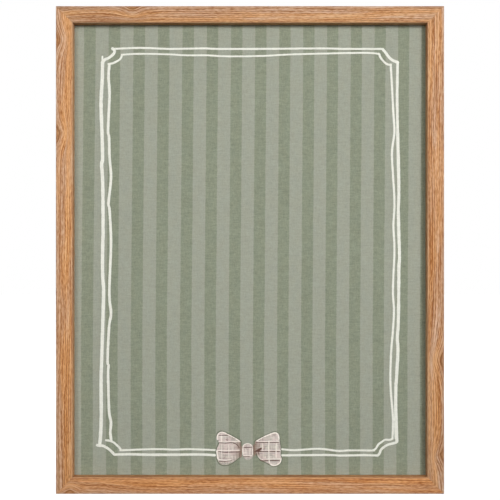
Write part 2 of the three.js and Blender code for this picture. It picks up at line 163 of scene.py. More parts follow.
class Nodes:
    """Adds nodes to a tree. An input is given as a value or as the socket that feeds it."""

    def __init__(self, tree):
        self.tree = tree

    def feed(self, socket, value):
        if isinstance(value, bpy.types.NodeSocket):
            self.tree.links.new(value, socket)
        else:
            socket.default_value = value

    def feed_all(self, sockets, **values):
        """Feeds sockets by their names, with _ for a space."""
        for name, value in values.items():
            self.feed(sockets[name.replace("_", " ")], value)

    def add(self, kind, inputs=None, **settings):
        node = self.tree.nodes.new(kind)
        for name, value in settings.items():
            setattr(node, name, value)
        for key, value in (inputs or {}).items():
            self.feed(node.inputs[key], value)
        return node

    def math(self, operation, *values):
        return self.add("ShaderNodeMath", dict(enumerate(values)), operation=operation).outputs[0]

    def total(self, first, *others):
        for value in others:
            first = self.math("ADD", first, value)
        return first

    def product(self, first, *others):
        for value in others:
            first = self.math("MULTIPLY", first, value)
        return first

    def minus(self, value, taken):
        return self.math("SUBTRACT", value, taken)

    def ratio(self, value, whole):
        return self.math("DIVIDE", value, whole)

    def scaled(self, value, factor, offset=0.0):
        return self.math("MULTIPLY_ADD", value, factor, offset)

    def centred(self, value, reach):
        """Makes a value from 0 to 1 run over a reach with 0 in its middle."""
        return self.scaled(value, reach, -reach / 2)

    def vector(self, operation, *values):
        return self.add("ShaderNodeVectorMath", dict(enumerate(values)), operation=operation).outputs[0]

    def combine(self, x, y, z):
        return self.add("ShaderNodeCombineXYZ", {0: x, 1: y, 2: z}).outputs[0]

    def separate(self, vector):
        return tuple(self.add("ShaderNodeSeparateXYZ", {0: vector}).outputs)

    def noise(self, vector, scale=1.0, detail=2.0, roughness=0.5, distortion=0.0):
        inputs = {"Vector": vector, "Scale": scale, "Detail": detail, "Roughness": roughness}
        return self.add("ShaderNodeTexNoise", {**inputs, "Distortion": distortion}).outputs["Fac"]

    def stretched_noise(self, place, often):
        """Noise that changes as often as given along X, Y and Z."""
        return self.noise(self.vector("MULTIPLY", place, often))

    def span(self, value, low, high, to_low=0.0, to_high=1.0):
        """A smooth step from one value to another."""
        inputs = {0: value, 1: low, 2: high, 3: to_low, 4: to_high}
        return self.add("ShaderNodeMapRange", inputs, interpolation_type="SMOOTHSTEP").outputs[0]

    def bell(self, value, middle, width):
        """1 at the middle, falling to 0 over about two widths."""
        off = self.ratio(self.minus(value, middle), width)
        return self.math("EXPONENT", self.product(off, off, -1.0))

    def mix(self, factor, first, second, blend="MIX"):
        inputs = {0: factor, 6: first, 7: second}
        return self.add("ShaderNodeMix", inputs, data_type="RGBA", blend_type=blend).outputs[2]

    def tinted(self, colour, tint):
        return self.mix(1.0, colour, tint, "MULTIPLY")

    def toned(self, colour, tone):
        return self.tinted(colour, self.combine(tone, tone, tone))

    def bump(self, height, strength, distance):
        inputs = {"Height": height, "Strength": strength, "Distance": distance}
        return self.add("ShaderNodeBump", inputs).outputs["Normal"]

    def object_millimetres(self):
        place = self.add("ShaderNodeTexCoord").outputs["Object"]
        return self.add("ShaderNodeMapping", {"Vector": place, "Scale": (1 / MM,) * 3}).outputs[0]

    def use(self, build, inputs):
        """Places a shader group and returns its outputs."""
        return self.add("ShaderNodeGroup", inputs, node_tree=built_once(build)).outputs

    def shape(self, kind, inputs=None, **settings):
        """A step of Geometry Nodes, by its first output."""
        return self.add(f"GeometryNode{kind}", inputs, **settings).outputs[0]

    def turn(self, axis, angle):
        return self.add("FunctionNodeAxisAngleToRotation", {"Axis": axis, "Angle": angle}).outputs[0]


VALUE = "NodeSocketFloat"
VECTOR = "NodeSocketVector"
COLOUR = "NodeSocketColor"
GEOMETRY = "NodeSocketGeometry"
MATERIAL = "NodeSocketMaterial"
OBJECT = "NodeSocketObject"
WHOLE = "NodeSocketInt"


def new_tree(kind, name, inputs, outputs):
    """A node group with named sockets: returns its nodes, its inputs as sockets and its outputs to feed."""
    tree = bpy.data.node_groups.new(name, kind)
    for in_out, sockets in (("INPUT", inputs), ("OUTPUT", outputs)):
        for label, socket in sockets.items():
            tree.interface.new_socket(label, in_out=in_out, socket_type=socket)
    nodes = Nodes(tree)
    return nodes, nodes.add("NodeGroupInput").outputs, nodes.add("NodeGroupOutput").inputs


def built_once(build):
    """The tree that a function builds, under the function's name."""
    return bpy.data.node_groups.get(build.__name__) or build(build.__name__)


# Patterns in the oak: how often each changes along and across the grain, for each millimetre, where it
# starts, and its fineness.
OAK_PATTERNS = {
    "wander": (0.007, 0.03, 1.0, 1), "ripple": (0.03, 0.1, 2.0, 2), "years": (0.004, 0.09, 3.0, 1),
    "band": (0.004, 0.13, 4.0, 1), "streak": (0.018, 0.75, 5.0, 2), "fleck": (0.2, 1.1, 6.0, 2),
    "pore": (0.12, 1.3, 7.0, 1), "flush": (0.01, 0.14, 8.0, 2), "knot": (0.25, 0.25, 9.0, 2),
}
OAK_SLANT = 0.7  # how far in the grain moves for each millimetre of depth
OAK_WANDER = 8.0  # how far the grain strays over the length of a rail, in millimetres
OAK_RIPPLE = 1.6  # and over a few centimetres
OAK_YEARS = 0.42  # growth rings in a millimetre
OAK_YEAR_DRIFT = 3.0  # how many rings their spacing strays by
OAK_LATE_WOOD = 2.5  # how steeply a ring darkens
OAK_TONE_SHARES = {"band": 0.7, "streak": 2.0, "fleck": 1.7, "late": -0.6, "halo": 0.35}
OAK_TONE_START = -1.51
OAK_PORE_STEP = (0.6, 0.74)  # values of its pattern between which a pore opens
OAK_PORE_SHARE = 0.35
OAK_HEART_SHARE = 0.75
OAK_FLUSH = 0.3  # how much warmer the wood is by the cloth
OAK_HEART_FLUSH = 0.4
OAK_FLUSH_STEP = (0.34, 0.66)  # between which the wood turns from cool to warm
OAK_WORN_SHARE = 0.4
OAK_WORN_FADE = -0.7  # for each millimetre from an edge
OAK_TONE_HEIGHT = 0.4  # what the tone adds to the relief, and pores take from it
OAK_PORE_DEPTH = 0.6
OAK_ROUGHNESS = 0.5
OAK_ROUGHENING = 0.12  # what pores and flecks add to it
# A half-knot: its dark ring and its halo by place and width, and its core, in shares of the knot's push.
KNOT_RING = (0.45, 0.16)
KNOT_HALO = (1.2, 0.3)
KNOT_CORE = (0.1, 0.45)
KNOT_CORE_SHARE = 0.45
KNOT_STRENGTH = 0.12  # for each millimetre of push
KNOT_STEEPNESS = 2.2
KNOT_STEEPEST = 9.0
KNOT_WAVER = 0.4
KNOT_DEPTH_TAPER = 0.06  # for each millimetre of depth
KNOT_END_TAPER = 0.6  # at half the knot's width along the rail, growing with the square
KNOT_REACH = (8.0, 17.0)  # millimetres from the outer edge between which the grain straightens out


def oak_grain(name):
    """Oak grain that dips round half-knots on the outer edge of a rail.
    Place is millimetres along the rail, in from its outer edge and back from its face.
    A knot is its place along the rail, how far it pushes the grain in, and its half width."""
    inputs = {"Place": VECTOR, "Face": VALUE, "Seed": VALUE, "Knot A": VECTOR, "Knot B": VECTOR}
    inputs |= {"Light": COLOUR, "Middle": COLOUR, "Dark": COLOUR, "Heart": COLOUR, "Worn": COLOUR}
    inputs |= {"Tint": COLOUR, "Cool": VECTOR, "Warm": VECTOR}
    outputs = {"Colour": COLOUR, "Height": VALUE, "Roughness": VALUE}
    nodes, given, made = new_tree("ShaderNodeTree", name, inputs, outputs)
    along, across, depth = nodes.separate(given["Place"])

    def pattern(label, line, roughness=0.5):
        """One of the oak's patterns, drawn out along the grain."""
        stretch, tightness, start, fineness = OAK_PATTERNS[label]
        shift = nodes.total(given["Seed"], start)
        place = nodes.combine(nodes.scaled(along, stretch, shift), nodes.scaled(line, tightness), shift)
        return nodes.noise(place, detail=fineness, roughness=roughness)

    inward = nodes.total(across, nodes.scaled(depth, OAK_SLANT))
    wander = nodes.centred(pattern("wander", inward), OAK_WANDER)
    line = nodes.total(inward, wander, nodes.centred(pattern("ripple", inward), OAK_RIPPLE))
    reach = nodes.span(across, *KNOT_REACH, 1.0, 0.0)
    hearts = []
    halos = []
    for knot in ("Knot A", "Knot B"):
        middle, push, width = nodes.separate(given[knot])
        off = nodes.ratio(nodes.minus(along, middle), width)
        square = nodes.product(off, off)
        dip = nodes.ratio(1.0, nodes.total(square, 1.0))
        line = nodes.minus(line, nodes.product(push, dip, reach))
        strength = nodes.math("MINIMUM", nodes.scaled(push, KNOT_STRENGTH), 1.0)
        inside = nodes.ratio(across, push)
        steep = nodes.math("MINIMUM", nodes.scaled(square, KNOT_STEEPNESS), KNOT_STEEPEST)
        waver = nodes.centred(pattern("knot", across), KNOT_WAVER)
        taper = nodes.total(nodes.scaled(depth, KNOT_DEPTH_TAPER), nodes.scaled(square, KNOT_END_TAPER))
        ring = nodes.scaled(inside, nodes.math("EXPONENT", steep), nodes.total(waver, taper))
        core = nodes.total(nodes.bell(ring, *KNOT_RING), nodes.span(ring, *KNOT_CORE, KNOT_CORE_SHARE, 0.0))
        hearts.append(nodes.product(strength, core))
        halos.append(nodes.product(strength, nodes.bell(inside, *KNOT_HALO), dip, dip))
    heart = nodes.math("MINIMUM", nodes.total(*hearts), 1.0)

    years = nodes.total(nodes.scaled(line, OAK_YEARS), nodes.scaled(pattern("years", line), OAK_YEAR_DRIFT))
    late = nodes.math("POWER", nodes.minus(1.0, nodes.math("FRACT", years)), OAK_LATE_WOOD)
    fleck = pattern("fleck", line)
    pore = nodes.span(pattern("pore", line), *OAK_PORE_STEP)
    parts = {"band": pattern("band", line), "streak": pattern("streak", line, roughness=0.6)}
    parts |= {"fleck": fleck, "late": late, "halo": nodes.total(*halos)}
    shares = (nodes.scaled(parts[part], share) for part, share in OAK_TONE_SHARES.items())
    tone = nodes.total(OAK_TONE_START, *shares)

    lower = nodes.mix(nodes.span(tone, 0.0, 0.5), given["Dark"], given["Middle"])
    wood = nodes.mix(nodes.span(tone, 0.5, 1.0), lower, given["Light"])
    wood = nodes.mix(nodes.scaled(pore, OAK_PORE_SHARE), wood, given["Heart"])
    wood = nodes.tinted(wood, given["Tint"])
    by_cloth = nodes.centred(nodes.ratio(across, given["Face"]), OAK_FLUSH)
    flush = nodes.total(by_cloth, pattern("flush", line), nodes.scaled(heart, OAK_HEART_FLUSH))
    warmth = nodes.span(flush, *OAK_FLUSH_STEP)
    wood = nodes.tinted(wood, nodes.mix(warmth, given["Cool"], given["Warm"]))
    to_edge = nodes.math("MINIMUM", across, nodes.minus(given["Face"], across))
    handled = nodes.math("EXPONENT", nodes.scaled(nodes.math("MAXIMUM", to_edge, depth), OAK_WORN_FADE))
    worn = nodes.product(handled, nodes.minus(1.0, heart), OAK_WORN_SHARE)
    wood = nodes.mix(worn, wood, given["Worn"])
    nodes.feed_all(
        made, Colour=nodes.mix(nodes.scaled(heart, OAK_HEART_SHARE), wood, given["Heart"]),
        Height=nodes.minus(nodes.scaled(tone, OAK_TONE_HEIGHT), nodes.scaled(pore, OAK_PORE_DEPTH)),
        Roughness=nodes.scaled(nodes.total(pore, fleck), OAK_ROUGHENING, OAK_ROUGHNESS),
    )
    return nodes.tree


# What makes up the tone of the canvas: upright slubs, level slubs, knots of fibre and clouds. Each has how
# often it changes across, in depth and up, for each millimetre, and its share.
CANVAS_TONES = (
    ((1.0, 1.0, 0.2), 0.27),
    ((0.15, 1.0, 0.9), 0.34),
    ((0.8, 0.8, 0.8), 0.34),
    ((0.018, 0.018, 0.018), 0.06),
)
CANVAS_TONE_START = 0.465
THREAD_TONE = (0.05, -0.03)  # what a thread adds to the tone: its share, and the start
THREAD_HEIGHT = 0.7  # shares of threads and slubs in the relief
SLUB_HEIGHT = 0.3


def canvas_weave(name):
    """A plain weave with slubs and knots of fibre: Tone is about 1 and Height runs from 0 to 1.
    Place is in millimetres."""
    inputs = {"Place": VECTOR, "Pitch": VALUE}
    nodes, given, made = new_tree("ShaderNodeTree", name, inputs, {"Tone": VALUE, "Height": VALUE})
    x, _, z = nodes.separate(given["Place"])
    warp = nodes.math("SINE", nodes.scaled(nodes.ratio(x, given["Pitch"]), math.pi))
    weft = nodes.math("SINE", nodes.scaled(nodes.ratio(z, given["Pitch"]), math.pi))
    over = nodes.math("GREATER_THAN", nodes.product(warp, weft), 0.0)
    warp_part = nodes.product(over, nodes.math("ABSOLUTE", warp))
    weft_part = nodes.product(nodes.minus(1.0, over), nodes.math("ABSOLUTE", weft))
    thread = nodes.total(warp_part, weft_part)
    slub = CANVAS_TONE_START
    for often, share in CANVAS_TONES:
        slub = nodes.total(slub, nodes.scaled(nodes.stretched_noise(given["Place"], often), share))
    nodes.feed_all(
        made, Tone=nodes.total(slub, nodes.scaled(thread, *THREAD_TONE)),
        Height=nodes.total(nodes.scaled(thread, THREAD_HEIGHT), nodes.scaled(slub, SLUB_HEIGHT)),
    )
    return nodes.tree


SCRATCHES = (18.0, 18.0, 1.2)  # how often scratches change along X, Y and Z, in a patch
SCRATCH_STEP = (0.58, 0.7)  # values of their patterns between which scratches and patches come up
DULL_STEP = (0.35, 0.7)


def handling_marks(name):
    """Dull patches and fine scratches on metal or board: Dull and Scratch run from 0 to 1.
    Place and Size, the size of a patch, are in millimetres."""
    inputs = {"Place": VECTOR, "Size": VALUE}
    nodes, given, made = new_tree("ShaderNodeTree", name, inputs, {"Dull": VALUE, "Scratch": VALUE})
    size = nodes.combine(given["Size"], given["Size"], given["Size"])
    place = nodes.vector("DIVIDE", given["Place"], size)
    nodes.feed_all(
        made, Dull=nodes.span(nodes.noise(place, detail=4, roughness=0.6), *DULL_STEP),
        Scratch=nodes.span(nodes.stretched_noise(place, SCRATCHES), *SCRATCH_STEP),
    )
    return nodes.tree


def new_material(name, **plain):
    """A material with a Principled shader whose plain values are set on its own sockets."""
    material = bpy.data.materials.new(name)
    material.use_nodes = True
    nodes = Nodes(material.node_tree)
    shader = material.node_tree.nodes["Principled BSDF"].inputs
    nodes.feed_all(shader, **plain)
    return material, nodes, shader


OAK_SEEDS = {"top": 3.1, "right": 11.7, "bottom": 23.2, "left": 37.9}
OAK_TINTS = {  # no two rails are cut from the same board
    "top": (0.98, 0.99, 0.95),
    "right": (1.01, 1.02, 1.0),
    "bottom": (0.94, 0.84, 0.68),
    "left": (1.01, 1.0, 0.93),
}
# The wood is greyer towards its outer edge and redder towards the cloth, in drawn-out patches.
OAK_COOL = (0.94, 1.01, 1.2)
OAK_WARM = (1.04, 0.96, 0.8)
# Half-knots on the outer edge of each rail: place along the rail, push and half width, in millimetres.
OAK_KNOTS = {
    "top": ((-118.0, 7.0, 11.0), (-192.0, 5.0, 14.0)),
    "right": ((-110.0, 8.0, 15.0), (-206.0, 7.5, 12.0)),
    "bottom": ((-181.0, 7.0, 9.0), (-150.0, 2.5, 14.0)),
    "left": ((117.0, 8.0, 15.0), (211.0, 7.5, 12.0)),
}
OUTER_EDGES = {"top": FRAME_HEAD, "right": FRAME_RIGHT, "bottom": FRAME_FOOT, "left": FRAME_LEFT}


def oak_material(side):
    """Oiled oak whose grain runs along one rail of the frame."""
    material, nodes, shader = new_material(f"oak_{side}", Specular_IOR_Level=0.3)
    x, y, z = nodes.separate(nodes.object_millimetres())
    along, inward, middle = (z, x, MIDDLE.z) if side in STILES else (x, z, MIDDLE.x)
    across = nodes.math("ABSOLUTE", nodes.minus(inward, OUTER_EDGES[side] / MM))
    place = nodes.combine(nodes.minus(along, middle / MM), across, nodes.minus(y, FRAME_FRONT / MM))
    first_knot, second_knot = OAK_KNOTS[side]
    shades = {tone.title(): shade(f"oak_{tone}") for tone in ("light", "middle", "dark", "heart", "worn")}
    grain = nodes.use(oak_grain, {
        "Place": place, "Face": RAIL_FACE / MM, "Seed": OAK_SEEDS[side], "Tint": opaque(OAK_TINTS[side]),
        "Knot A": first_knot, "Knot B": second_knot, "Cool": OAK_COOL, "Warm": OAK_WARM, **shades,
    })
    relief = nodes.bump(grain["Height"], strength=0.35, distance=0.15 * MM)
    nodes.feed_all(shader, Base_Color=grain["Colour"], Roughness=grain["Roughness"], Normal=relief)
    return material


# The stripes run a little out of square: they lean, less so towards the right, and close up.
STRIPE_LEAN = 0.0079
STRIPE_LEAN_CHANGE = -1.17e-5  # for each millimetre to the right
STRIPE_STRAIGHT = -90.0  # below this height, in millimetres from the middle, they hang straight
STRIPE_CLOSING = 0.002
STRIPE_BLUR = 0.03  # softness of a stripe's edge, as a share of the pitch
STRIPE_SWAY = 0.8  # how far a stripe's edges stray, in millimetres
STRIPE_SWAY_OFTEN = (0.04, 0.0, 0.05)


def stripe_mask(nodes, place):
    """1 on the dark stripes of the canvas and 0 on the light ones."""
    size = sizes()
    x, _, z = nodes.separate(place)
    up = nodes.math("MAXIMUM", nodes.minus(z, MIDDLE.z / MM), STRIPE_STRAIGHT)
    lean = nodes.product(nodes.scaled(x, STRIPE_LEAN_CHANGE, STRIPE_LEAN), up)
    sway = nodes.centred(nodes.stretched_noise(place, STRIPE_SWAY_OFTEN), STRIPE_SWAY)
    flat = nodes.minus(nodes.total(x, sway), lean)
    count = nodes.scaled(flat, MM / size.stripe_pitch, -size.stripe_start / size.stripe_pitch)
    count = nodes.total(count, nodes.product(count, count, STRIPE_CLOSING))
    off = nodes.math("ABSOLUTE", nodes.minus(count, nodes.math("ROUND", count)))
    half = size.stripe_width / size.stripe_pitch / 2
    return nodes.span(off, half - STRIPE_BLUR / 2, half + STRIPE_BLUR / 2, 1.0, 0.0)


CANVAS_RELIEF = 0.08 * MM
PRINT_RELIEF = 0.05 * MM


def woven_finish(nodes, shader, tint, share, relief):
    """Gives a colour the threads of the canvas, in tone and in relief. Share is how much tone shows."""
    place = nodes.object_millimetres()
    weave = nodes.use(canvas_weave, {"Place": place, "Pitch": sizes().thread_pitch / MM})
    tone = nodes.scaled(nodes.minus(weave["Tone"], 1.0), share, 1.0)
    bumps = nodes.bump(weave["Height"], strength=0.3, distance=relief)
    nodes.feed_all(shader, Base_Color=nodes.toned(tint, tone), Normal=bumps)


# The dye drifts between a cooler and a warmer green, and pale threads show more on the dark stripes.
CANVAS_COOL = (0.994, 1.003, 1.014)
CANVAS_WARM = (1.006, 0.997, 0.986)
CANVAS_DRIFT_OFTEN = (0.12, 0.0, 0.06)
CANVAS_DRIFT_STEP = (0.3, 0.7)
LIGHT_STRIPE_TEXTURE = 0.71
DARK_STRIPE_TEXTURE = 1.35


def canvas_tint(nodes, place, stripes):
    """The colours of the striped canvas."""
    drift = nodes.span(nodes.stretched_noise(place, CANVAS_DRIFT_OFTEN), *CANVAS_DRIFT_STEP)
    dye = nodes.mix(drift, opaque(CANVAS_COOL), opaque(CANVAS_WARM))
    return nodes.tinted(nodes.mix(stripes, shade("stripe_light"), shade("stripe_dark")), dye)


def canvas_material():
    """Striped cotton canvas."""
    material, nodes, shader = new_material(
        "striped_canvas", Roughness=0.92, Specular_IOR_Level=0.12, Sheen_Weight=0.04, Sheen_Roughness=0.6
    )
    place = nodes.object_millimetres()
    stripes = stripe_mask(nodes, place)
    texture = nodes.scaled(stripes, DARK_STRIPE_TEXTURE - LIGHT_STRIPE_TEXTURE, LIGHT_STRIPE_TEXTURE)
    woven_finish(nodes, shader, canvas_tint(nodes, place, stripes), texture, CANVAS_RELIEF)
    return material


INK_THIN_OFTEN = 0.35  # how often the ink thins, for each millimetre
INK_THIN_STEP = (0.42, 0.75)
INK_THIN_SHARE = 0.12
INK_TEXTURE = 0.4


def ink_material(name, ink, thin):
    """Fabric ink that lies a little unevenly on the threads, in two named colours."""
    material, nodes, shader = new_material(name, Roughness=0.85, Specular_IOR_Level=0.15)
    uneven = nodes.noise(nodes.object_millimetres(), INK_THIN_OFTEN, detail=3)
    patch = nodes.span(uneven, *INK_THIN_STEP)
    tint = nodes.mix(nodes.scaled(patch, INK_THIN_SHARE), shade(ink), shade(thin))
    woven_finish(nodes, shader, tint, INK_TEXTURE, PRINT_RELIEF)
    return material


RIBBON_TEXTURE = 0.7
WASH_OFTEN = 0.16  # how often the washes and the rubbed spots change, for each millimetre
RUBBED_OFTEN = 0.9
WASH_STEP = (0.36, 0.62)  # values of their patterns between which both come up
RUBBED_STEP = (0.3, 0.6)
HATCHING_OFTEN = (0.62, 0.1)  # how often the hatching changes across its lines and along them
HATCHING_PALE_STEP = (0.55, 0.75)
HATCHING_PALE_SHARE = 0.6
HATCHING_DEEP_STEP = (0.3, 0.46)
HATCHING_DEEP_SHARE = 0.42


def ribbon_material(name, rose, grey, fold_share, worn):
    """Part of the printed bow: washes of two named colours under a fine hatching, darker by the knot.
    Worn is where the print is rubbed thin, across and up from the middle of the bow, and how far."""
    material, nodes, shader = new_material(name, Roughness=0.88, Specular_IOR_Level=0.15)
    place = nodes.object_millimetres()
    from_knot = nodes.vector("SUBTRACT", place, tuple(bow_place() / MM))
    x, _, z = nodes.separate(from_knot)
    wash = nodes.span(nodes.noise(place, WASH_OFTEN), *WASH_STEP)
    tint = nodes.mix(wash, shade(grey), shade(rose))
    by_knot = nodes.bell(x, 0.0, BOW_SHADE_REACH)
    tint = nodes.mix(nodes.scaled(by_knot, fold_share), tint, shade("bow_fold"))
    close, wide = HATCHING_OFTEN
    upright = nodes.stretched_noise(from_knot, (close, 0.0, wide))
    level = nodes.stretched_noise(from_knot, (wide, 0.0, close))
    pale = nodes.span(nodes.math("MAXIMUM", upright, level), *HATCHING_PALE_STEP)
    tint = nodes.mix(nodes.scaled(pale, HATCHING_PALE_SHARE), tint, shade("check_white"))
    deep = nodes.span(nodes.math("MINIMUM", upright, level), *HATCHING_DEEP_STEP, 1.0, 0.0)
    tint = nodes.mix(nodes.scaled(deep, HATCHING_DEEP_SHARE), tint, shade("check_brown"))
    across, up, radius = worn
    rubbed = nodes.span(nodes.noise(place, RUBBED_OFTEN), *RUBBED_STEP)
    thin = nodes.product(nodes.bell(x, across, radius), nodes.bell(z, up, radius / 2), rubbed)
    tint = nodes.mix(thin, tint, canvas_tint(nodes, place, stripe_mask(nodes, place)))
    woven_finish(nodes, shader, tint, RIBBON_TEXTURE, PRINT_RELIEF)
    return material


# Sizes of the dull patches that handling leaves, in millimetres.
HARDBOARD_PATCH = 25.0
ZINC_PATCH = 4.0
RUBBER_PATCH = 3.0
# Roughness of each finish, and what dull patches and scratches add to it.
HARDBOARD_ROUGHNESS = 0.62
HARDBOARD_DULL_ROUGHNESS = 0.12
ZINC_ROUGHNESS = 0.26
ZINC_DULL_ROUGHNESS = 0.16
ZINC_SCRATCH_ROUGHNESS = 0.12
RUBBER_ROUGHNESS = 0.6
RUBBER_DULL_ROUGHNESS = 0.2
# The tone of the boards: shares of its clumps and fibres, and where it starts.
HARDBOARD_CLUMPS = 0.6
HARDBOARD_FIBRES = 0.7
HARDBOARD_TONE_START = 0.35
HARDBOARD_SCUFFS = 0.15  # how much paler the dull patches are
SOFTBOARD_CLUMPS = 0.7
SOFTBOARD_TONE_START = 0.62


def hardboard_material():
    """Smooth brown hardboard with short felted fibres and handling marks."""
    material, nodes, shader = new_material("hardboard", Specular_IOR_Level=0.25)
    place = nodes.object_millimetres()
    marks = nodes.use(handling_marks, {"Place": place, "Size": HARDBOARD_PATCH})
    clump = nodes.noise(place, scale=0.3, detail=5, roughness=0.75)
    fibre = nodes.noise(place, scale=0.7, detail=3, roughness=0.6, distortion=2.5)
    fibres = nodes.scaled(fibre, HARDBOARD_FIBRES, HARDBOARD_TONE_START)
    tone = nodes.total(nodes.scaled(clump, HARDBOARD_CLUMPS), fibres)
    tint = nodes.toned(shade("hardboard"), tone)
    pale = nodes.mix(0.5, shade("hardboard"), shade("softboard"))
    nodes.feed_all(
        shader, Base_Color=nodes.mix(nodes.scaled(marks["Dull"], HARDBOARD_SCUFFS), tint, pale),
        Roughness=nodes.scaled(marks["Dull"], HARDBOARD_DULL_ROUGHNESS, HARDBOARD_ROUGHNESS),
        Normal=nodes.bump(fibre, strength=0.3, distance=0.1 * MM),
    )
    return material


def softboard_material():
    """Pressed wood fibre that takes pins."""
    material, nodes, shader = new_material("softboard", Roughness=0.95, Specular_IOR_Level=0.1)
    clump = nodes.noise(nodes.object_millimetres(), scale=0.5, detail=5, roughness=0.7)
    tone = nodes.scaled(clump, SOFTBOARD_CLUMPS, SOFTBOARD_TONE_START)
    relief = nodes.bump(clump, strength=0.6, distance=0.3 * MM)
    nodes.feed_all(shader, Base_Color=nodes.toned(shade("softboard"), tone), Normal=relief)
    return material


ZINC_DULLED = 0.72  # share of its brightness that dull zinc keeps
RUBBER_DUST = 0.05  # what dust adds to the brightness of rubber


def zinc_plating():
    """Bright zinc plating with dull patches and fine scratches, which all the hardware shares."""
    if "zinc_plating" in bpy.data.materials:
        return bpy.data.materials["zinc_plating"]
    material, nodes, shader = new_material("zinc_plating", Metallic=1.0)
    marks = nodes.use(handling_marks, {"Place": nodes.object_millimetres(), "Size": ZINC_PATCH})
    dull = opaque(ZINC_DULLED * part for part in shade("zinc")[:3])
    patches = nodes.scaled(marks["Dull"], ZINC_DULL_ROUGHNESS, ZINC_ROUGHNESS)
    nodes.feed_all(
        shader, Base_Color=nodes.mix(marks["Dull"], shade("zinc"), dull),
        Roughness=nodes.total(patches, nodes.scaled(marks["Scratch"], ZINC_SCRATCH_ROUGHNESS)),
        Normal=nodes.bump(marks["Scratch"], strength=0.15, distance=0.02 * MM),
    )
    return material


def rubber_material():
    """Dark moulded rubber, a little dusty."""
    material, nodes, shader = new_material("bumper_rubber", Specular_IOR_Level=0.35)
    place = nodes.object_millimetres()
    marks = nodes.use(handling_marks, {"Place": place, "Size": RUBBER_PATCH})
    dusty = opaque(part + RUBBER_DUST for part in shade("rubber")[:3])
    nodes.feed_all(
        shader, Base_Color=nodes.mix(marks["Dull"], shade("rubber"), dusty),
        Roughness=nodes.scaled(marks["Dull"], RUBBER_DULL_ROUGHNESS, RUBBER_ROUGHNESS),
        Normal=nodes.bump(nodes.noise(place, scale=6.0), strength=0.2, distance=0.05 * MM),
    )
    return material


def new_object(name, mesh):
    piece = bpy.data.objects.new(name, mesh)
    bpy.context.scene.collection.objects.link(piece)
    return piece


def discard(rough):
    """Removes an object and its mesh."""
    mesh = rough.data
    bpy.data.objects.remove(rough)
    bpy.data.meshes.remove(mesh)


def mesh_of(name, work):
    """Turns a bmesh into a mesh and frees it."""
    mesh = bpy.data.meshes.new(name)
    work.to_mesh(mesh)
    work.free()
    return mesh


def arc(middle, radii, start, sweep, steps):
    """Points on part of a circle or an ellipse, with its angles in quarter turns."""
    points = []
    for step in range(steps + 1):
        angle = (start + sweep * step / steps) * QUARTER_TURN
        points.append((middle[0] + radii[0] * math.cos(angle), middle[1] + radii[1] * math.sin(angle)))
    return points


def join_points(work, places, closed=True):
    """Puts points into a bmesh and joins them by edges, back to the first one where the line is closed."""
    verts = [work.verts.new(place) for place in places]
    after = verts[1:] + verts[:1] if closed else verts[1:]
    for first, second in zip(verts, after):
        work.edges.new((first, second))
    return verts


def grow(rough, build, values):
    """Puts a Geometry Nodes tree on an object. Inputs are set by their sockets' identifiers."""
    tree = built_once(build)
    modifier = rough.modifiers.new(tree.name, "NODES")
    modifier.node_group = tree
    for item in tree.interface.items_tree:
        if item.item_type == "SOCKET" and item.in_out == "INPUT" and item.name in values:
            modifier[item.identifier] = values[item.name]


EASE_STEPS = 2
SHARP_ANGLE = 40  # degrees from which an edge is eased


def ease(rough, width):
    """Rounds the sharp edges of a piece."""
    bevel = rough.modifiers.new("eased_edges", "BEVEL")
    bevel.width = width
    bevel.segments = EASE_STEPS
    bevel.limit_method = "ANGLE"
    bevel.angle_limit = math.radians(SHARP_ANGLE)


def cut(rough, cutter, crossing=False):
    """Cuts one object out of another. Crossing is for a cutter whose parts run through each other."""
    opening = rough.modifiers.new(cutter.name, "BOOLEAN")
    opening.operation = "DIFFERENCE"
    opening.solver = "EXACT"
    opening.use_self = crossing
    opening.object = cutter


def keep_flat(rough):
    """Shades the flat faces of a piece flat, between its rounded edges."""
    rough.modifiers.new("flat_faces", "WEIGHTED_NORMAL").keep_sharp = True


def settle(rough, name, material=None, smooth=None):
    """Turns an object with modifiers into a plain mesh piece and removes the object it came from.
    Smooth is the angle in degrees up to which its edges are shaded round."""
    bpy.context.view_layer.update()
    evaluated = rough.evaluated_get(bpy.context.evaluated_depsgraph_get())
    mesh = bpy.data.meshes.new_from_object(evaluated)
    mesh.name = name
    discard(rough)
    if material:
        mesh.materials.clear()
        mesh.materials.append(material)
    if smooth:
        mesh.shade_smooth()
        mesh.set_sharp_from_angle(angle=math.radians(smooth))
    return new_object(name, mesh)


def belongs(piece, body, slot, *nodes):
    """Hangs a finished piece on its CAD body and hides the nodes that it stands for. Slot, its finish, is not
    used.
    """
    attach(piece, body)
    if nodes:
        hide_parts(*nodes)


def repaint(node, material):
    mesh = frame["nodes"][node].data
    mesh.materials.clear()
    mesh.materials.append(material)


def thicken(nodes, flat, height):
    """Draws flat faces up along Z to closed bodies."""
    inputs = {"Mesh": flat, "Offset": (0, 0, 1), "Offset Scale": height, "Individual": False}
    both = nodes.add("GeometryNodeJoinGeometry", {0: nodes.shape("ExtrudeMesh", inputs)})
    nodes.feed(both.inputs[0], nodes.shape("FlipFaces", {"Mesh": flat}))
    return nodes.shape("MergeByDistance", {"Geometry": both.outputs[0], "Distance": WELD})


def finish_tree(nodes, geometry, material, out):
    """Every tree ends the same way: real meshes with a material."""
    real = nodes.shape("RealizeInstances", {"Geometry": geometry})
    nodes.feed(out, nodes.shape("SetMaterial", {"Geometry": real, "Material": material}))
    return nodes.tree


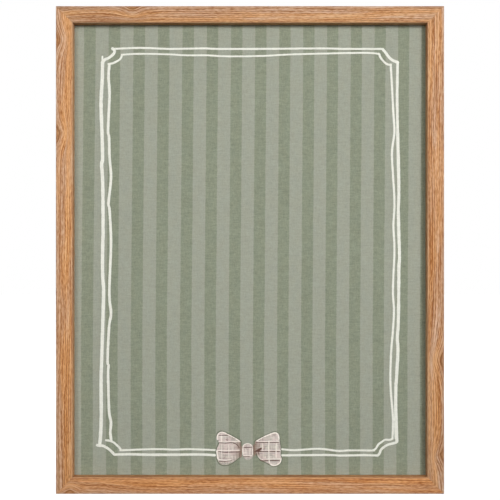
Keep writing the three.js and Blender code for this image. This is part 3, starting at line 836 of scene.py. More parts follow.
def mitred_rail(name):
    """Draws a section out to a rail with 45 degree ends. In the section X is inward from the outer edge
    and Y is depth; the further in a point lies, the sooner the rail ends there."""
    inputs = {"Section": GEOMETRY, "Half length": VALUE, "Half reach": VALUE, "Mitre gap": VALUE}
    inputs |= {"Turn": VALUE, "Middle": VECTOR, "Material": MATERIAL}
    nodes, given, made = new_tree("GeometryNodeTree", name, inputs, {"Rail": GEOMETRY})
    whole = thicken(nodes, given["Section"], 1.0)
    inward, depth, end = nodes.separate(nodes.shape("InputPosition"))
    reach = nodes.minus(nodes.minus(given["Half length"], inward), given["Mitre gap"])
    along = nodes.product(nodes.centred(end, 2.0), reach)
    place = nodes.combine(along, depth, nodes.minus(given["Half reach"], inward))
    drawn = nodes.shape("SetPosition", {"Geometry": whole, "Position": place})
    turn = nodes.turn((0, 1, 0), given["Turn"])
    turned = nodes.shape("Transform", {"Geometry": drawn, "Translation": given["Middle"], "Rotation": turn})
    return finish_tree(nodes, turned, given["Material"], made[0])


EDGE_STEPS = 6
CLOTH_GAP = 0.1 * MM  # between the lip of a rail and the cloth
NAIL_ROOM = 0.225 * MM  # how far the corners of a slot lie outside those of its nail
SLOT_MARGIN = 1 * MM  # how far the cutters of the slots stand out to the rear


def rail_section():
    """Cross-section of the moulding, counted inward from the outer edge and in world depth."""
    size = sizes()
    radius = size.edge_radius
    rear_face = RAIL_FACE - size.rebate_width
    ledge = CLOTH_LOW.y - CLOTH_GAP
    points = [(0, FRAME_REAR), (rear_face, FRAME_REAR), (rear_face, ledge), (RAIL_FACE, ledge)]
    for middle, start in ((RAIL_FACE - radius, 0), (radius, 1)):
        points += arc((middle, FRAME_FRONT + radius), (radius, -radius), start, 1, EDGE_STEPS)
    work = bmesh.new()
    face = work.faces.new([work.verts.new((inward, depth, 0)) for inward, depth in points])
    work.normal_update()
    if face.normal.z < 0:
        face.normal_flip()
    return mesh_of("rail_section", work)


def nail_slots():
    """The slots that the V-nails are driven into, a little wider than the nails and open to the rear."""
    work = bmesh.new()
    for corner in CORNERS:
        work.from_mesh(frame["nodes"][f"corner_nail_{corner}"].data)
    bmesh.ops.remove_doubles(work, verts=work.verts, dist=WELD)
    bmesh.ops.recalc_face_normals(work, faces=work.faces)
    work.normal_update()
    for vert in work.verts:
        vert.co += vert.normal * NAIL_ROOM
        if vert.co.y > FRAME_REAR - SLOT_MARGIN:
            vert.co.y = FRAME_REAR + SLOT_MARGIN
    return new_object("nail_slots", mesh_of("nail_slots", work))


class MEMO_OT_rails(bpy.types.Operator):
    """Four mitred oak rails with rounded front edges and slots for the V-nails"""

    bl_idname = "memo_board.rails"
    bl_label = "Oak rails"

    def execute(self, context):
        cutter = nail_slots()
        for turn, side in enumerate(SIDES):
            upright = side in STILES
            rough = new_object(f"rough_{side}", rail_section())
            grow(rough, mitred_rail, {
                "Half length": (FRAME_HEIGHT if upright else FRAME_WIDTH) / 2,
                "Half reach": (FRAME_WIDTH if upright else FRAME_HEIGHT) / 2,
                "Mitre gap": sizes().mitre_gap,
                "Turn": turn * QUARTER_TURN,
                "Middle": MIDDLE,
                "Material": oak_material(side),
            })
            ease(rough, sizes().edge_ease)
            cut(rough, cutter)
            keep_flat(rough)
            belongs(settle(rough, f"oak_{side}_rail", smooth=50), BOARD, "oak", RAILS[side])
        discard(cutter)
        return {"FINISHED"}


CLOTH_CELLS = (36, 46)
CLOTH_SEED = Vector((4.7, 1.3, 9.1))
RIPPLE_OFTEN = 18  # how often the ripple changes, for each metre
FOLD_STEPS = 4
HEM_STEPS = (0.4, 0.7, 1.0)


def cloth_rings():
    """The way of the canvas from the front edge over the side to the hem: inset from the side and depth."""
    fold = sizes().cloth_fold
    rings = arc((fold, CLOTH_LOW.y + fold), (fold, fold), -1, -1, FOLD_STEPS)[1:]
    rings += arc((fold, CLOTH_HIGH.y - fold), (fold, fold), 2, -1, FOLD_STEPS)
    return rings + [(sizes().hem_width * share, CLOTH_HIGH.y) for share in HEM_STEPS]


def cloth_sheet():
    """The canvas as one sheet over the front, the sides and the rear edge of the pin board."""
    size = sizes()
    across, up = CLOTH_CELLS
    middle = (CLOTH_LOW + CLOTH_HIGH) / 2
    half = (CLOTH_HIGH - CLOTH_LOW) / 2
    work = bmesh.new()

    def ring_point(i, j, inset, depth):
        x = (2 * i / across - 1) * (half.x - inset)
        z = (2 * j / up - 1) * (half.z - inset)
        return work.verts.new((middle.x + x, depth, middle.z + z))

    grid = {}
    for i in range(across + 1):
        for j in range(up + 1):
            vert = ring_point(i, j, size.cloth_fold, CLOTH_LOW.y)
            inner = min(i, across - i, j, up - j) > 1
            if inner:
                sway = noise.noise(vert.co * RIPPLE_OFTEN + CLOTH_SEED)
                vert.co.y += size.cloth_ripple * (1 + sway) / 2
            grid[i, j] = vert
    for i in range(across):
        for j in range(up):
            work.faces.new((grid[i, j], grid[i + 1, j], grid[i + 1, j + 1], grid[i, j + 1]))
    loop = [(i, 0) for i in range(across)] + [(across, j) for j in range(up)]
    loop += [(across - i, up) for i in range(across)] + [(0, up - j) for j in range(up)]
    last = [grid[place] for place in loop]
    for inset, depth in cloth_rings():
        ring = [ring_point(i, j, inset, depth) for i, j in loop]
        for k in range(len(loop)):
            after = (k + 1) % len(loop)
            work.faces.new((last[k], ring[k], ring[after], last[after]))
        last = ring
    bmesh.ops.recalc_face_normals(work, faces=work.faces)
    if next(iter(grid[across // 2, up // 2].link_faces)).normal.y > 0:
        bmesh.ops.reverse_faces(work, faces=work.faces)
    return mesh_of("canvas", work)


class MEMO_OT_canvas(bpy.types.Operator):
    """The striped canvas, stretched over the pin board and folded onto its rear"""

    bl_idname = "memo_board.canvas"
    bl_label = "Striped canvas"

    def execute(self, context):
        rough = new_object("rough_canvas", cloth_sheet())
        wall = rough.modifiers.new("thickness", "SOLIDIFY")
        wall.thickness = sizes().cloth_thickness
        wall.offset = -1
        canvas = settle(rough, "striped_canvas", canvas_material(), smooth=50)
        belongs(canvas, BOARD, "printed_canvas", "printed_fabric")
        return {"FINISHED"}


def even_line(nodes, drawing, step):
    """Smooth curves through the corners of drawn lines, with points at even steps."""
    line = nodes.shape("MeshToCurve", {"Mesh": drawing})
    smooth = nodes.shape("CurveSplineType", {"Curve": line}, spline_type="CATMULL_ROM")
    return nodes.shape("ResampleCurve", {"Curve": smooth, "Length": step}, mode="LENGTH")


def hang_drawing(nodes, geometry, place):
    """Turns a drawing in X and Y upright, to face the front."""
    turn = nodes.turn((1, 0, 0), QUARTER_TURN)
    return nodes.shape("Transform", {"Geometry": geometry, "Translation": place, "Rotation": turn})


BRUSH_SIDES = 10
TREMBLE_OFTEN = 0.12  # how often a stroke's line and its width change, for each millimetre
UNEVEN_OFTEN = 0.22


def brush_strokes(name):
    """Turns lines drawn in X and Y into flat strokes of ink with a trembling line and thinning ends."""
    inputs = {"Lines": GEOMETRY, "Step": VALUE, "Tremble": VALUE, "Unevenness": VALUE, "Flatness": VALUE}
    inputs |= {"Taper": VALUE, "Blunt": VALUE, "Seed": VALUE, "Place": VECTOR, "Material": MATERIAL}
    nodes, given, made = new_tree("GeometryNodeTree", name, inputs, {"Strokes": GEOMETRY})
    even = even_line(nodes, given["Lines"], given["Step"])
    seeded = nodes.combine(given["Seed"], given["Seed"], given["Seed"])
    here = nodes.vector("MULTIPLY_ADD", nodes.shape("InputPosition"), (1 / MM,) * 3, seeded)
    shake = nodes.add("ShaderNodeTexNoise", {"Vector": here, "Scale": TREMBLE_OFTEN}).outputs["Color"]
    shake = nodes.vector("SUBTRACT", shake, (0.5, 0.5, 0.5))
    shake = nodes.vector("MULTIPLY", shake, nodes.combine(given["Tremble"], given["Tremble"], 0.0))
    drawn = nodes.shape("SetPosition", {"Geometry": even, "Offset": shake})
    brush = nodes.shape("InputNamedAttribute", {"Name": "brush"}, data_type="FLOAT")
    rough = nodes.centred(nodes.noise(here, UNEVEN_OFTEN, detail=3), 2.0)
    gone = nodes.add("GeometryNodeSplineParameter").outputs["Length"]
    to_end = nodes.math("MINIMUM", gone, nodes.minus(nodes.shape("SplineLength"), gone))
    end = nodes.span(to_end, 0.0, given["Taper"], given["Blunt"], 1.0)
    width = nodes.product(brush, nodes.scaled(rough, given["Unevenness"], 1.0), end)
    upright = nodes.shape("SetCurveNormal", {"Curve": drawn}, mode="Z_UP")
    disc = nodes.shape("CurvePrimitiveCircle", {"Resolution": BRUSH_SIDES, "Radius": 1.0})
    flatness = nodes.combine(1.0, given["Flatness"], 1.0)
    lens = nodes.shape("Transform", {"Geometry": disc, "Scale": flatness})
    inputs = {"Curve": upright, "Profile Curve": lens, "Scale": width, "Fill Caps": True}
    hung = hang_drawing(nodes, nodes.shape("CurveToMesh", inputs), given["Place"])
    return finish_tree(nodes, hung, given["Material"], made[0])


def ink_patches(name):
    """Fills outlines drawn in X and Y and gives them a thickness, facing the front."""
    inputs = {"Outlines": GEOMETRY, "Step": VALUE, "Thickness": VALUE, "Place": VECTOR, "Material": MATERIAL}
    nodes, given, made = new_tree("GeometryNodeTree", name, inputs, {"Patches": GEOMETRY})
    even = even_line(nodes, given["Outlines"], given["Step"])
    filled = nodes.shape("FillCurve", {"Curve": even}, mode="NGONS")
    hung = hang_drawing(nodes, thicken(nodes, filled, given["Thickness"]), given["Place"])
    return finish_tree(nodes, hung, given["Material"], made[0])


def drawn_lines(strokes):
    """Polylines of (width, points) in millimetres as a mesh of edges, with the half width as an attribute."""
    work = bmesh.new()
    brush = work.verts.layers.float.new("brush")
    for width, points in strokes:
        for vert in join_points(work, [(x * MM, y * MM, 0) for x, y in points], closed=False):
            vert[brush] = width / 2 * MM
    return mesh_of("lines", work)


def closed_outlines(outlines):
    work = bmesh.new()
    for points in outlines:
        join_points(work, [(x * MM, y * MM, 0) for x, y in points])
    return mesh_of("outlines", work)


# The painted border, in millimetres from the middle of the board: brush width and points of each stroke.
BORDER_OUTER = (
    (2.0, ((-138.5, 204), (-110.5, 205), (-81.5, 204), (-49.5, 204.5), (-31, 204), (15, 204), (71, 204.5),
           (96.5, 204), (135, 204))),
    (2.8, ((134, 204.5), (136.5, 201.5), (139, 198), (142, 194.5), (145.5, 192), (149.5, 190.5), (151, 191))),
    (2.7, ((149.7, 191), (149.3, 152), (150, 112))),
    (3.2, ((149.8, 120), (150.5, 89), (151, 60.5), (150.5, 38), (151.5, -5), (151, -20), (150.5, -71),
           (149.5, -89), (150, -104), (148, -142), (148, -164.5), (149, -195))),
    (1.7, ((147.3, -134), (147, -160), (147.4, -192))),
    (2.5, ((150, -194), (147.5, -195.5), (144, -196.5), (140, -197.5), (136.5, -199.5), (133, -202.5),
           (131.5, -206), (130, -208), (128.5, -209))),
    (2.2, ((130.5, -208.5), (114.5, -208.1), (92.5, -208.5), (76, -207.9), (31, -208.3))),
    (2.6, ((-34.5, -208.2), (-52, -207.4), (-86.5, -207.7), (-106.5, -207.6),
           (-121, -207.2), (-138.5, -207.5))),
    (2.6, ((-137, -208), (-139, -206), (-142, -203), (-145.5, -200.5), (-149.5, -198.5), (-153, -198.5),
           (-156, -197.5))),
    (3.4, ((-152.5, -198.5), (-151, -175), (-151, -127), (-150.5, -114.5), (-149, -63), (-148.5, -41.5),
           (-149.5, -25), (-149.5, 0), (-149, 22.5), (-149.5, 70.5), (-150.5, 86.5),
           (-149.5, 96.5), (-151, 142), (-151, 154.5), (-149.8, 175), (-149.5, 192))),
    (1.8, ((-149.6, 187), (-149.8, 197))),
    (2.8, ((-149.5, 189.5), (-147.5, 193), (-144, 194.5), (-140.5, 197), (-138, 199.5), (-137.5, 202.5),
           (-140.5, 205))),
)
BORDER_INNER = (
    (1.8, ((-131, 198), (-112.5, 199), (-82.5, 198.5), (-66, 197.5), (-43.5, 197.5), (-27, 196.5),
           (-5, 196.5), (15, 197), (45, 198.5), (86.5, 199.5), (112.5, 200), (126.5, 199.5), (131.5, 198.5))),
    (2.2, ((129.5, 199), (131, 199), (132, 196), (134.5, 192.5), (137.5, 189.5), (140.5, 188), (144, 188))),
    (2.1, ((143, 188.5), (143, 183.5), (144.5, 157), (145.5, 137), (146.5, 119.5), (144, 96.5), (146.5, 50.5),
           (145.5, 25), (146.5, 0), (145, -40.5), (146, -60.5), (145, -81.5), (143, -106.5), (142.5, -137),
           (145, -170), (144.5, -192))),
    (2.1, ((145.5, -191), (142, -192.5), (137, -192.5), (134, -194.5), (130.5, -197), (128.5, -200),
           (127, -202), (123.5, -203.5))),
    (2.0, ((127, -203.4), (102.5, -203.2), (88.5, -203.6), (69.5, -201.7), (45.5, -203), (31, -202))),
    (2.0, ((-34.5, -203), (-60, -202), (-76, -202.5), (-96.5, -202), (-132.5, -203.2))),
    (2.2, ((-130.5, -204), (-132, -201), (-135, -198), (-138.5, -195), (-142.5, -193.5), (-147, -193))),
    (2.7, ((-140.5, -194.5), (-141.7, -185), (-141, -175), (-143, -162.5), (-144, -127), (-143.5, -117),
           (-144.5, -112), (-143, -78.5), (-141, -64.5), (-142.5, -50.5), (-142.5, -33), (-141, 7.5),
           (-142.5, 40.5), (-143.5, 48), (-141, 73.5), (-142.5, 94), (-143, 114), (-144, 122),
           (-142.5, 157), (-143.5, 175), (-142.5, 189.5))),
    (2.1, ((-144.5, 188.5), (-139, 189.5), (-136, 191), (-132.5, 193), (-130.5, 195.5), (-130, 199))),
)

# The printed bow, in millimetres from the middle of its knot.
BOW_MIDDLE = (-2.4, -204.5)
BOW_SHADE_REACH = 10.0
BOW_LOOP_FOLD = 1.5  # strength of the dark wash where the loops go into the knot
BOW_KNOT_FOLD = 0.0
BOW_LOOP_WORN = (-20.0, -14.0, 9.0)
BOW_KNOT_WORN = (0.5, -8.5, 5.0)
BOW_LEFT_LOOP = (
    (-31, 14), (-30.5, 17.5), (-28.5, 19.5), (-25.5, 20), (-21.5, 18.5), (-12.5, 14), (-8.5, 11.5), (-7, 9.5),
    (-7, 4.5), (-7.5, -0.5), (-8.5, -5.5), (-10.5, -7.5), (-17, -12), (-22, -13.5), (-26.5, -13), (-29, -11),
    (-30.5, -8), (-31.5, -3), (-31.5, 2), (-29, 8), (-29.5, 11),
)
BOW_RIGHT_LOOP = (
    (7.5, 4.5), (7.5, 9), (8.5, 11), (16, 15), (25.5, 19), (28.5, 19.5), (31, 18), (32, 14.5), (32.5, 9.5),
    (33.5, 3.5), (33.5, -3.5), (34.5, -7.5), (33, -11), (30.5, -13.5), (26.5, -14.5), (23, -13), (16, -9.5),
    (13, -8), (11, -5.5), (9, -3), (7.5, 0),
)
BOW_KNOT = (
    (-5.5, 4.5), (-4.5, 6.5), (-2.5, 8), (0, 8.5), (2.5, 8), (4.5, 6.5), (5.5, 3.5), (5.5, -2), (5, -5.5),
    (3, -7.5), (0.5, -8.5), (-2, -8), (-4, -5.5), (-5.5, -0.5),
)
BOW_FOLDS = (
    ((5.7, 6), (6.8, 7.5), (7.6, 6), (7.8, 2), (8.6, -0.5), (7.6, -3.5), (6.4, -5), (5.7, -3)),
    ((-6.4, 6), (-5.8, 3), (-5.7, -2), (-6.3, -5.5), (-7.6, -6), (-8.4, -3), (-7.8, 1), (-7.6, 4.5)),
)
BOW_CREASE = ((8, 0.8), (11, 2.8), (14, 4.2), (14.2, 2.2), (11, 0.6))
BOW_WHITE = (
    (1.2, ((-30.5, 11.5), (-31, 14), (-30, 17.5), (-28, 19.3), (-25, 19.5), (-21, 18))),
    (0.8, ((-21, 18), (-17, 16), (-12.5, 13.5))),
    (1.3, ((-12.5, 13.5), (-9.5, 11.3), (-7.3, 9.8))),
    (0.8, ((-30, 10), (-23, 9.8), (-15.5, 10.3), (-7.5, 10))),
    (1.1, ((-26.8, 16.4), (-26.5, 9.7))),
    (0.5, ((-26.4, 8.5), (-26.2, -8))),
    (0.4, ((-19.5, 7.5), (-19, -7))),
    (0.8, ((-31.5, 1.2), (-20, 1.2), (-7.5, 1.5))),
    (1.5, ((-31.3, 1.5), (-30.8, -3), (-30, -8))),
    (1.1, ((-30.2, -8), (-23, -8.6), (-16.5, -8.3))),
    (0.9, ((8.2, 10.3), (12, 12.5), (16, 14.7))),
    (1.3, ((16, 14.7), (25, 18.5), (28.3, 19), (30.7, 17.7), (31.6, 14.5), (31.8, 11.5))),
    (0.7, ((9, 10.5), (20, 10.3), (32.7, 10.5))),
    (0.7, ((13.5, 1.4), (33.2, 1.4))),
    (0.8, ((18, -7.5), (26, -7.3), (34, -7.4))),
    (0.6, ((15, 8.8), (15, 0.5))),
    (1.0, ((21.7, 11), (21.5, -1), (21.9, -11.8))),
    (0.9, ((28.9, 9), (28.9, -6.5))),
    (1.3, ((34, -6.7), (33, -10.8), (30.2, -13.2), (26.5, -14), (22.5, -12.7))),
    (0.5, ((10.5, -4.5), (12.5, -7), (16, -8.3))),
    (0.8, ((-5, 4), (-4, 6.5), (-2, 7.8), (0, 8.2), (2.3, 7.6), (4.3, 6))),
    (0.9, ((-5, 3.4), (-4.8, -3.6))),
    (0.9, ((5, 3.4), (5.1, -3.6))),
    (0.9, ((-4.5, -4.2), (5, -4.1))),
    (0.7, ((-1.8, 3.4), (-1.6, -3.4))),
    (0.7, ((2.4, 3.4), (2.3, -3.4))),
)
BOW_BROWN = (
    (0.9, ((-29.5, 9.1), (-23, 8.7), (-15.5, 9.2))),
    (0.8, ((-15.5, 9.2), (-11.5, 7.5), (-9.5, 5.5), (-8.5, 3))),
    (0.9, ((-30, 0), (-23, -0.6), (-15.5, -0.4), (-8, -0.5))),
    (0.7, ((-29.5, -9.8), (-22.5, -9.8), (-15.5, -8.8))),
    (0.8, ((-29.5, 16.3), (-24, 16.6), (-19.5, 16.2))),
    (0.9, ((-22, 12), (-20, 11.6))),
    (0.6, ((-7.9, 3), (-7.8, -1), (-8.3, -5.5))),
    (0.9, ((8.4, 9.3), (20, 9.3), (32, 9.4))),
    (1.0, ((6.5, 0), (12, 0.2), (20, 0.3), (33, 0.2))),
    (0.9, ((12, -8.3), (16, -9.3), (24, -9), (32.7, -9.2))),
    (0.8, ((25.5, 17), (28.5, 16.8))),
    (1.2, ((31.5, -9.3), (32.8, -9.2))),
    (0.6, ((6.3, 7), (6.2, 2), (6.4, -3))),
    (0.6, ((8.6, -0.6), (9.4, -4))),
    (0.6, ((10.8, -0.4), (11.8, -3.8))),
    (0.8, ((-4.2, 4.1), (0, 4.3), (4.8, 4.5))),
    (0.8, ((-4.8, -5.1), (0, -5), (2.5, -5))),
)
BOW_SHADOW_WIDTH = 2.4
BOW_STEP = 0.5 * MM
INK_TREMBLE = 0.35 * MM  # how far the line of a stroke strays
INK_FLATNESS = 0.02  # thickness of a stroke as a share of its width
BORDER_BRUSH = {"Step": 1.1 * MM, "Unevenness": 0.22, "Taper": 1.5 * MM, "Blunt": 0.7}
BOW_BRUSH = {"Step": BOW_STEP, "Unevenness": 0.45, "Taper": 1.2 * MM, "Blunt": 0.4}


def ink_lines(name, strokes, brush, place, seed, material):
    """A set of brush strokes on the canvas."""
    rough = new_object(f"rough_{name}", drawn_lines(strokes))
    grow(rough, brush_strokes, {
        **brush, "Tremble": INK_TREMBLE, "Flatness": INK_FLATNESS, "Seed": seed, "Place": place,
        "Material": material,
    })
    belongs(settle(rough, name, smooth=60), BOARD, "printed_canvas")


class MEMO_OT_border(bpy.types.Operator):
    """The painted double border, as two sets of brush strokes on the canvas"""

    bl_idname = "memo_board.border"
    bl_label = "Painted border"

    def execute(self, context):
        ink = ink_material("border_ink", "ink", "stripe_light")
        place = Vector((MIDDLE.x, CLOTH_LOW.y, MIDDLE.z))
        for name, strokes, seed in (("border_outer", BORDER_OUTER, 2.0), ("border_inner", BORDER_INNER, 8.0)):
            ink_lines(name, strokes, BORDER_BRUSH, place, seed, ink)
        return {"FINISHED"}


def bow_place():
    """The middle of the knot on the front of the canvas."""
    across, up = BOW_MIDDLE
    return Vector((MIDDLE.x + across * MM, CLOTH_LOW.y, MIDDLE.z + up * MM))


class MEMO_OT_bow(bpy.types.Operator):
    """The printed bow: two loops and a knot, checked with brown and white lines"""

    bl_idname = "memo_board.bow"
    bl_label = "Printed bow"

    def execute(self, context):
        place = bow_place()
        loops = ribbon_material("bow_ribbon", "ribbon_rose", "ribbon_grey", BOW_LOOP_FOLD, BOW_LOOP_WORN)
        knot = ribbon_material("bow_knot", "knot_rose", "knot_grey", BOW_KNOT_FOLD, BOW_KNOT_WORN)
        fold = ink_material("bow_fold", "bow_fold", "ribbon_grey")
        shadow = ink_material("bow_shadow", "bow_shadow", "stripe_dark")
        brown = ink_material("check_brown", "check_brown", "ribbon_grey")
        white = ink_material("check_white", "check_white", "ribbon_rose")
        both_loops = (BOW_LEFT_LOOP, BOW_RIGHT_LOOP)
        fills = (  # name, outlines, thickness in millimetres and material
            ("bow_ribbon", both_loops, 0.03, loops),
            ("bow_folds", BOW_FOLDS, 0.04, fold),
            ("bow_crease", (BOW_CREASE,), 0.05, brown),
            ("bow_knot", (BOW_KNOT,), 0.05, knot),
        )
        for name, outlines, thickness, material in fills:
            rough = new_object(f"rough_{name}", closed_outlines(outlines))
            grow(rough, ink_patches, {
                "Step": BOW_STEP, "Thickness": thickness * MM, "Place": place, "Material": material,
            })
            belongs(settle(rough, name), BOARD, "printed_canvas")
        outline = [(BOW_SHADOW_WIDTH, loop + loop[:2]) for loop in both_loops]
        lines = (  # name, strokes, height over the canvas in millimetres, seed and material
            ("bow_shadow", outline, 0.0, 1.0, shadow),
            ("bow_brown_lines", BOW_BROWN, 0.06, 3.0, brown),
            ("bow_white_lines", BOW_WHITE, 0.07, 5.0, white),
        )
        for name, strokes, lift, seed, material in lines:
            ink_lines(name, strokes, BOW_BRUSH, place - Vector((0, lift * MM, 0)), seed, material)
        return {"FINISHED"}


class MEMO_OT_backing(bpy.types.Operator):
    """Board materials for the CAD pin board, and for the back panel behind it"""

    bl_idname = "memo_board.backing"
    bl_label = "Pin board and back panel"

    def execute(self, context):
        repaint("pin_board_core", softboard_material())
        repaint("back_panel", hardboard_material())
        return {"FINISHED"}


FLAT_ANGLE = 2  # degrees under which two CAD triangles are one face


def eased_copy(node, name, body):
    """A sheet metal piece in the shape of its CAD node, with rounded edges."""
    work = bmesh.new()
    work.from_mesh(frame["nodes"][node].data)
    bmesh.ops.remove_doubles(work, verts=work.verts, dist=WELD)
    bmesh.ops.dissolve_limit(work, angle_limit=math.radians(FLAT_ANGLE), verts=work.verts, edges=work.edges)
    rough = new_object(f"rough_{name}", mesh_of(node, work))
    ease(rough, sizes().metal_ease)
    keep_flat(rough)
    belongs(settle(rough, name, zinc_plating(), smooth=50), body, "zinc_steel", node)


class MEMO_OT_hardware(bpy.types.Operator):
    """V-nails, turn buttons and hanger straps in zinc-plated sheet steel"""

    bl_idname = "memo_board.hardware"
    bl_label = "Sheet metal hardware"

    def execute(self, context):
        for corner in CORNERS:
            repaint(f"corner_nail_{corner}", zinc_plating())
        for button in BUTTONS:
            eased_copy(f"turn_button_{button}", f"zinc_turn_button_{button}", f"turn_button_{button}")
        for side in HANGERS:
            eased_copy(f"hanger_strap_{side}", f"zinc_hanger_strap_{side}", BOARD)
        return {"FINISHED"}


def spin_profile(points, steps):
    """A closed body of revolution about Y from (radius, height) points that begin and end on the axis."""
    work = bmesh.new()
    join_points(work, [(radius, height, 0) for radius, height in points], closed=False)
    bmesh.ops.spin(
        work, geom=work.verts[:] + work.edges[:], cent=(0, 0, 0), axis=(0, 1, 0), angle=4 * QUARTER_TURN,
        steps=steps, use_merge=True,
    )
    bmesh.ops.remove_doubles(work, verts=work.verts, dist=WELD)
    bmesh.ops.recalc_face_normals(work, faces=work.faces)
    return work


SCREW_STEPS = 32
SCREW_SEED = 7
SCREW_HEAD_SHARE = 1.8 / 13.8  # height of the head in the whole length of a screw
SCREW_RIM_SHARE = 0.28  # height of the rim under the dome in that of the head
SCREW_DOME_STEPS = 6
SCREW_SHANK_SHARE = 0.5  # radius of the shank in that of the head
SCREW_NECK_SHARE = 0.85  # radius at the neck, between the ridges and at the tip, in that of the shank
SCREW_CORE_SHARE = 0.78
SCREW_TIP_SHARE = 0.25
SCREW_TIP = 0.3 * MM
SCREW_RIDGES = 9
SCREW_RIDGE_START = 2.6 * MM  # from the tip to the first ridge
SCREW_RIDGE_HALF = 0.35 * MM  # half the height of a ridge
SCREW_PLAIN = 4 * MM  # length of the shank that its ridges leave free
RECESS_LENGTH = 3.2 * MM
RECESS_WIDTH = 0.8 * MM
RECESS_HEIGHT = 2.2 * MM  # half of it in the head and half above
RECESS_TAPER = 0.55


def cross_recess(height):
    """Two tapered bars that cross at a height on the Y axis."""
    work = bmesh.new()
    half_facet = math.pi / SCREW_STEPS  # keeps the corners of the recess off the edges of the dome
    for turn in (half_facet, half_facet + QUARTER_TURN):
        for vert in bmesh.ops.create_cube(work, size=1)["verts"]:
            taper = 1.0 if vert.co.y > 0 else RECESS_TAPER
            across = vert.co.x * RECESS_LENGTH * taper
            place = Vector((across, vert.co.y * RECESS_HEIGHT + height, vert.co.z * RECESS_WIDTH * taper))
            vert.co = Matrix.Rotation(turn, 3, "Y") @ place
    return new_object("cross_recess", mesh_of("cross_recess", work))


def pan_head_screw(radius, whole):
    """A pan-head wood screw along Y whose head lies on Y = 0."""
    head = whole * SCREW_HEAD_SHARE
    rim = head * SCREW_RIM_SHARE
    shank = radius * SCREW_SHANK_SHARE
    core = shank * SCREW_CORE_SHARE
    tip = head - whole
    points = [(0, tip), (shank * SCREW_TIP_SHARE, tip + SCREW_TIP)]
    for ridge in range(SCREW_RIDGES):
        height = tip + SCREW_RIDGE_START + ridge / SCREW_RIDGES * (whole - head - SCREW_PLAIN)
        points += [(core, height), (shank, height + SCREW_RIDGE_HALF), (core, height + 2 * SCREW_RIDGE_HALF)]
    points += [(shank * SCREW_NECK_SHARE, 0), (radius, 0)]
    points += arc((0, rim), (radius, head - rim), 0, 1, SCREW_DOME_STEPS)[:-1] + [(0, head)]
    screw = new_object("screw_pattern", mesh_of("screw_pattern", spin_profile(points, SCREW_STEPS)))
    cross = cross_recess(head)
    cut(screw, cross, crossing=True)
    finished = settle(screw, "screw", smooth=40)
    discard(cross)
    return finished


def driven_screws(name):
    """Puts a screw on every point, each turned by its own seeded angle about Y."""
    inputs = {"Seats": GEOMETRY, "Screw": OBJECT, "Seed": WHOLE, "Material": MATERIAL}
    nodes, given, made = new_tree("GeometryNodeTree", name, inputs, {"Screws": GEOMETRY})
    pattern = nodes.add("GeometryNodeObjectInfo", {"Object": given["Screw"]}).outputs["Geometry"]
    limits = {2: 0.0, 3: 4 * QUARTER_TURN}
    chance = nodes.add("FunctionNodeRandomValue", {"Seed": given["Seed"], **limits}, data_type="FLOAT")
    turn = nodes.turn((0, 1, 0), chance.outputs[1])
    seats = nodes.shape("MeshToPoints", {"Mesh": given["Seats"]})
    driven = nodes.shape("InstanceOnPoints", {"Points": seats, "Instance": pattern, "Rotation": turn})
    return finish_tree(nodes, driven, given["Material"], made[0])


class MEMO_OT_screws(bpy.types.Operator):
    """Pan-head screws through the turn buttons and the hanger straps"""

    bl_idname = "memo_board.screws"
    bl_label = "Screws"

    def execute(self, context):
        nodes = [f"turn_button_screw_{button}" for button in BUTTONS]
        nodes += [f"hanger_screw_{side}" for side in HANGERS]
        low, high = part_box(nodes[0])
        whole = high.y - low.y
        pattern = pan_head_screw((high.x - low.x) / 2, whole)
        work = bmesh.new()
        for node in nodes:
            low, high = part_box(node)
            middle = (low + high) / 2
            work.verts.new((middle.x, high.y - whole * SCREW_HEAD_SHARE, middle.z))
        rough = new_object("rough_screws", mesh_of("seats", work))
        grow(rough, driven_screws, {"Screw": pattern, "Seed": SCREW_SEED, "Material": zinc_plating()})
        belongs(settle(rough, "pan_head_screws", smooth=40), BOARD, "zinc_steel", *nodes)
        discard(pattern)
        return {"FINISHED"}


WIRE_SIDES = 20


def wire_ring(name):
    """Bends round wire along a closed line."""
    inputs = {"Line": GEOMETRY, "Wire radius": VALUE, "Material": MATERIAL}
    nodes, given, made = new_tree("GeometryNodeTree", name, inputs, {"Ring": GEOMETRY})
    line = nodes.shape("MeshToCurve", {"Mesh": given["Line"]})
    wire = nodes.shape("CurvePrimitiveCircle", {"Resolution": WIRE_SIDES, "Radius": given["Wire radius"]})
    bent = nodes.shape("CurveToMesh", {"Curve": line, "Profile Curve": wire})
    return finish_tree(nodes, bent, given["Material"], made[0])


RING_CORNER_RADIUS = 1.8 * MM
RING_STEPS = 12  # in a quarter turn of the wire


def ring_line(side):
    """The centre line of a D-ring: its bar on the hinge axis and its bow leaning on the wood."""
    low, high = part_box(f"hanger_ring_{side}")
    wire = sizes().ring_wire / 2
    bar = Vector(JOINTS[f"hanger_ring_{side}_swing"]["pos_m"])
    half = (high.x - low.x) / 2 - wire
    rise = high.z - wire - bar.z
    lean = math.atan2(bar.y - wire - low.y, rise)
    reach = rise / math.cos(lean)
    corner = RING_CORNER_RADIUS
    points = []
    for middle, radius, start, sweep in (
        ((half - corner, corner), corner, -1, 1),
        ((0, reach - half), half, 0, 2),
        ((corner - half, corner), corner, 2, 1),
    ):
        points += arc(middle, (radius, radius), start, sweep, RING_STEPS * sweep)
    work = bmesh.new()
    leaning = Vector((0, -math.sin(lean), math.cos(lean)))
    join_points(work, [bar + Vector((across, 0, 0)) + leaning * up for across, up in points])
    return mesh_of("ring_line", work)


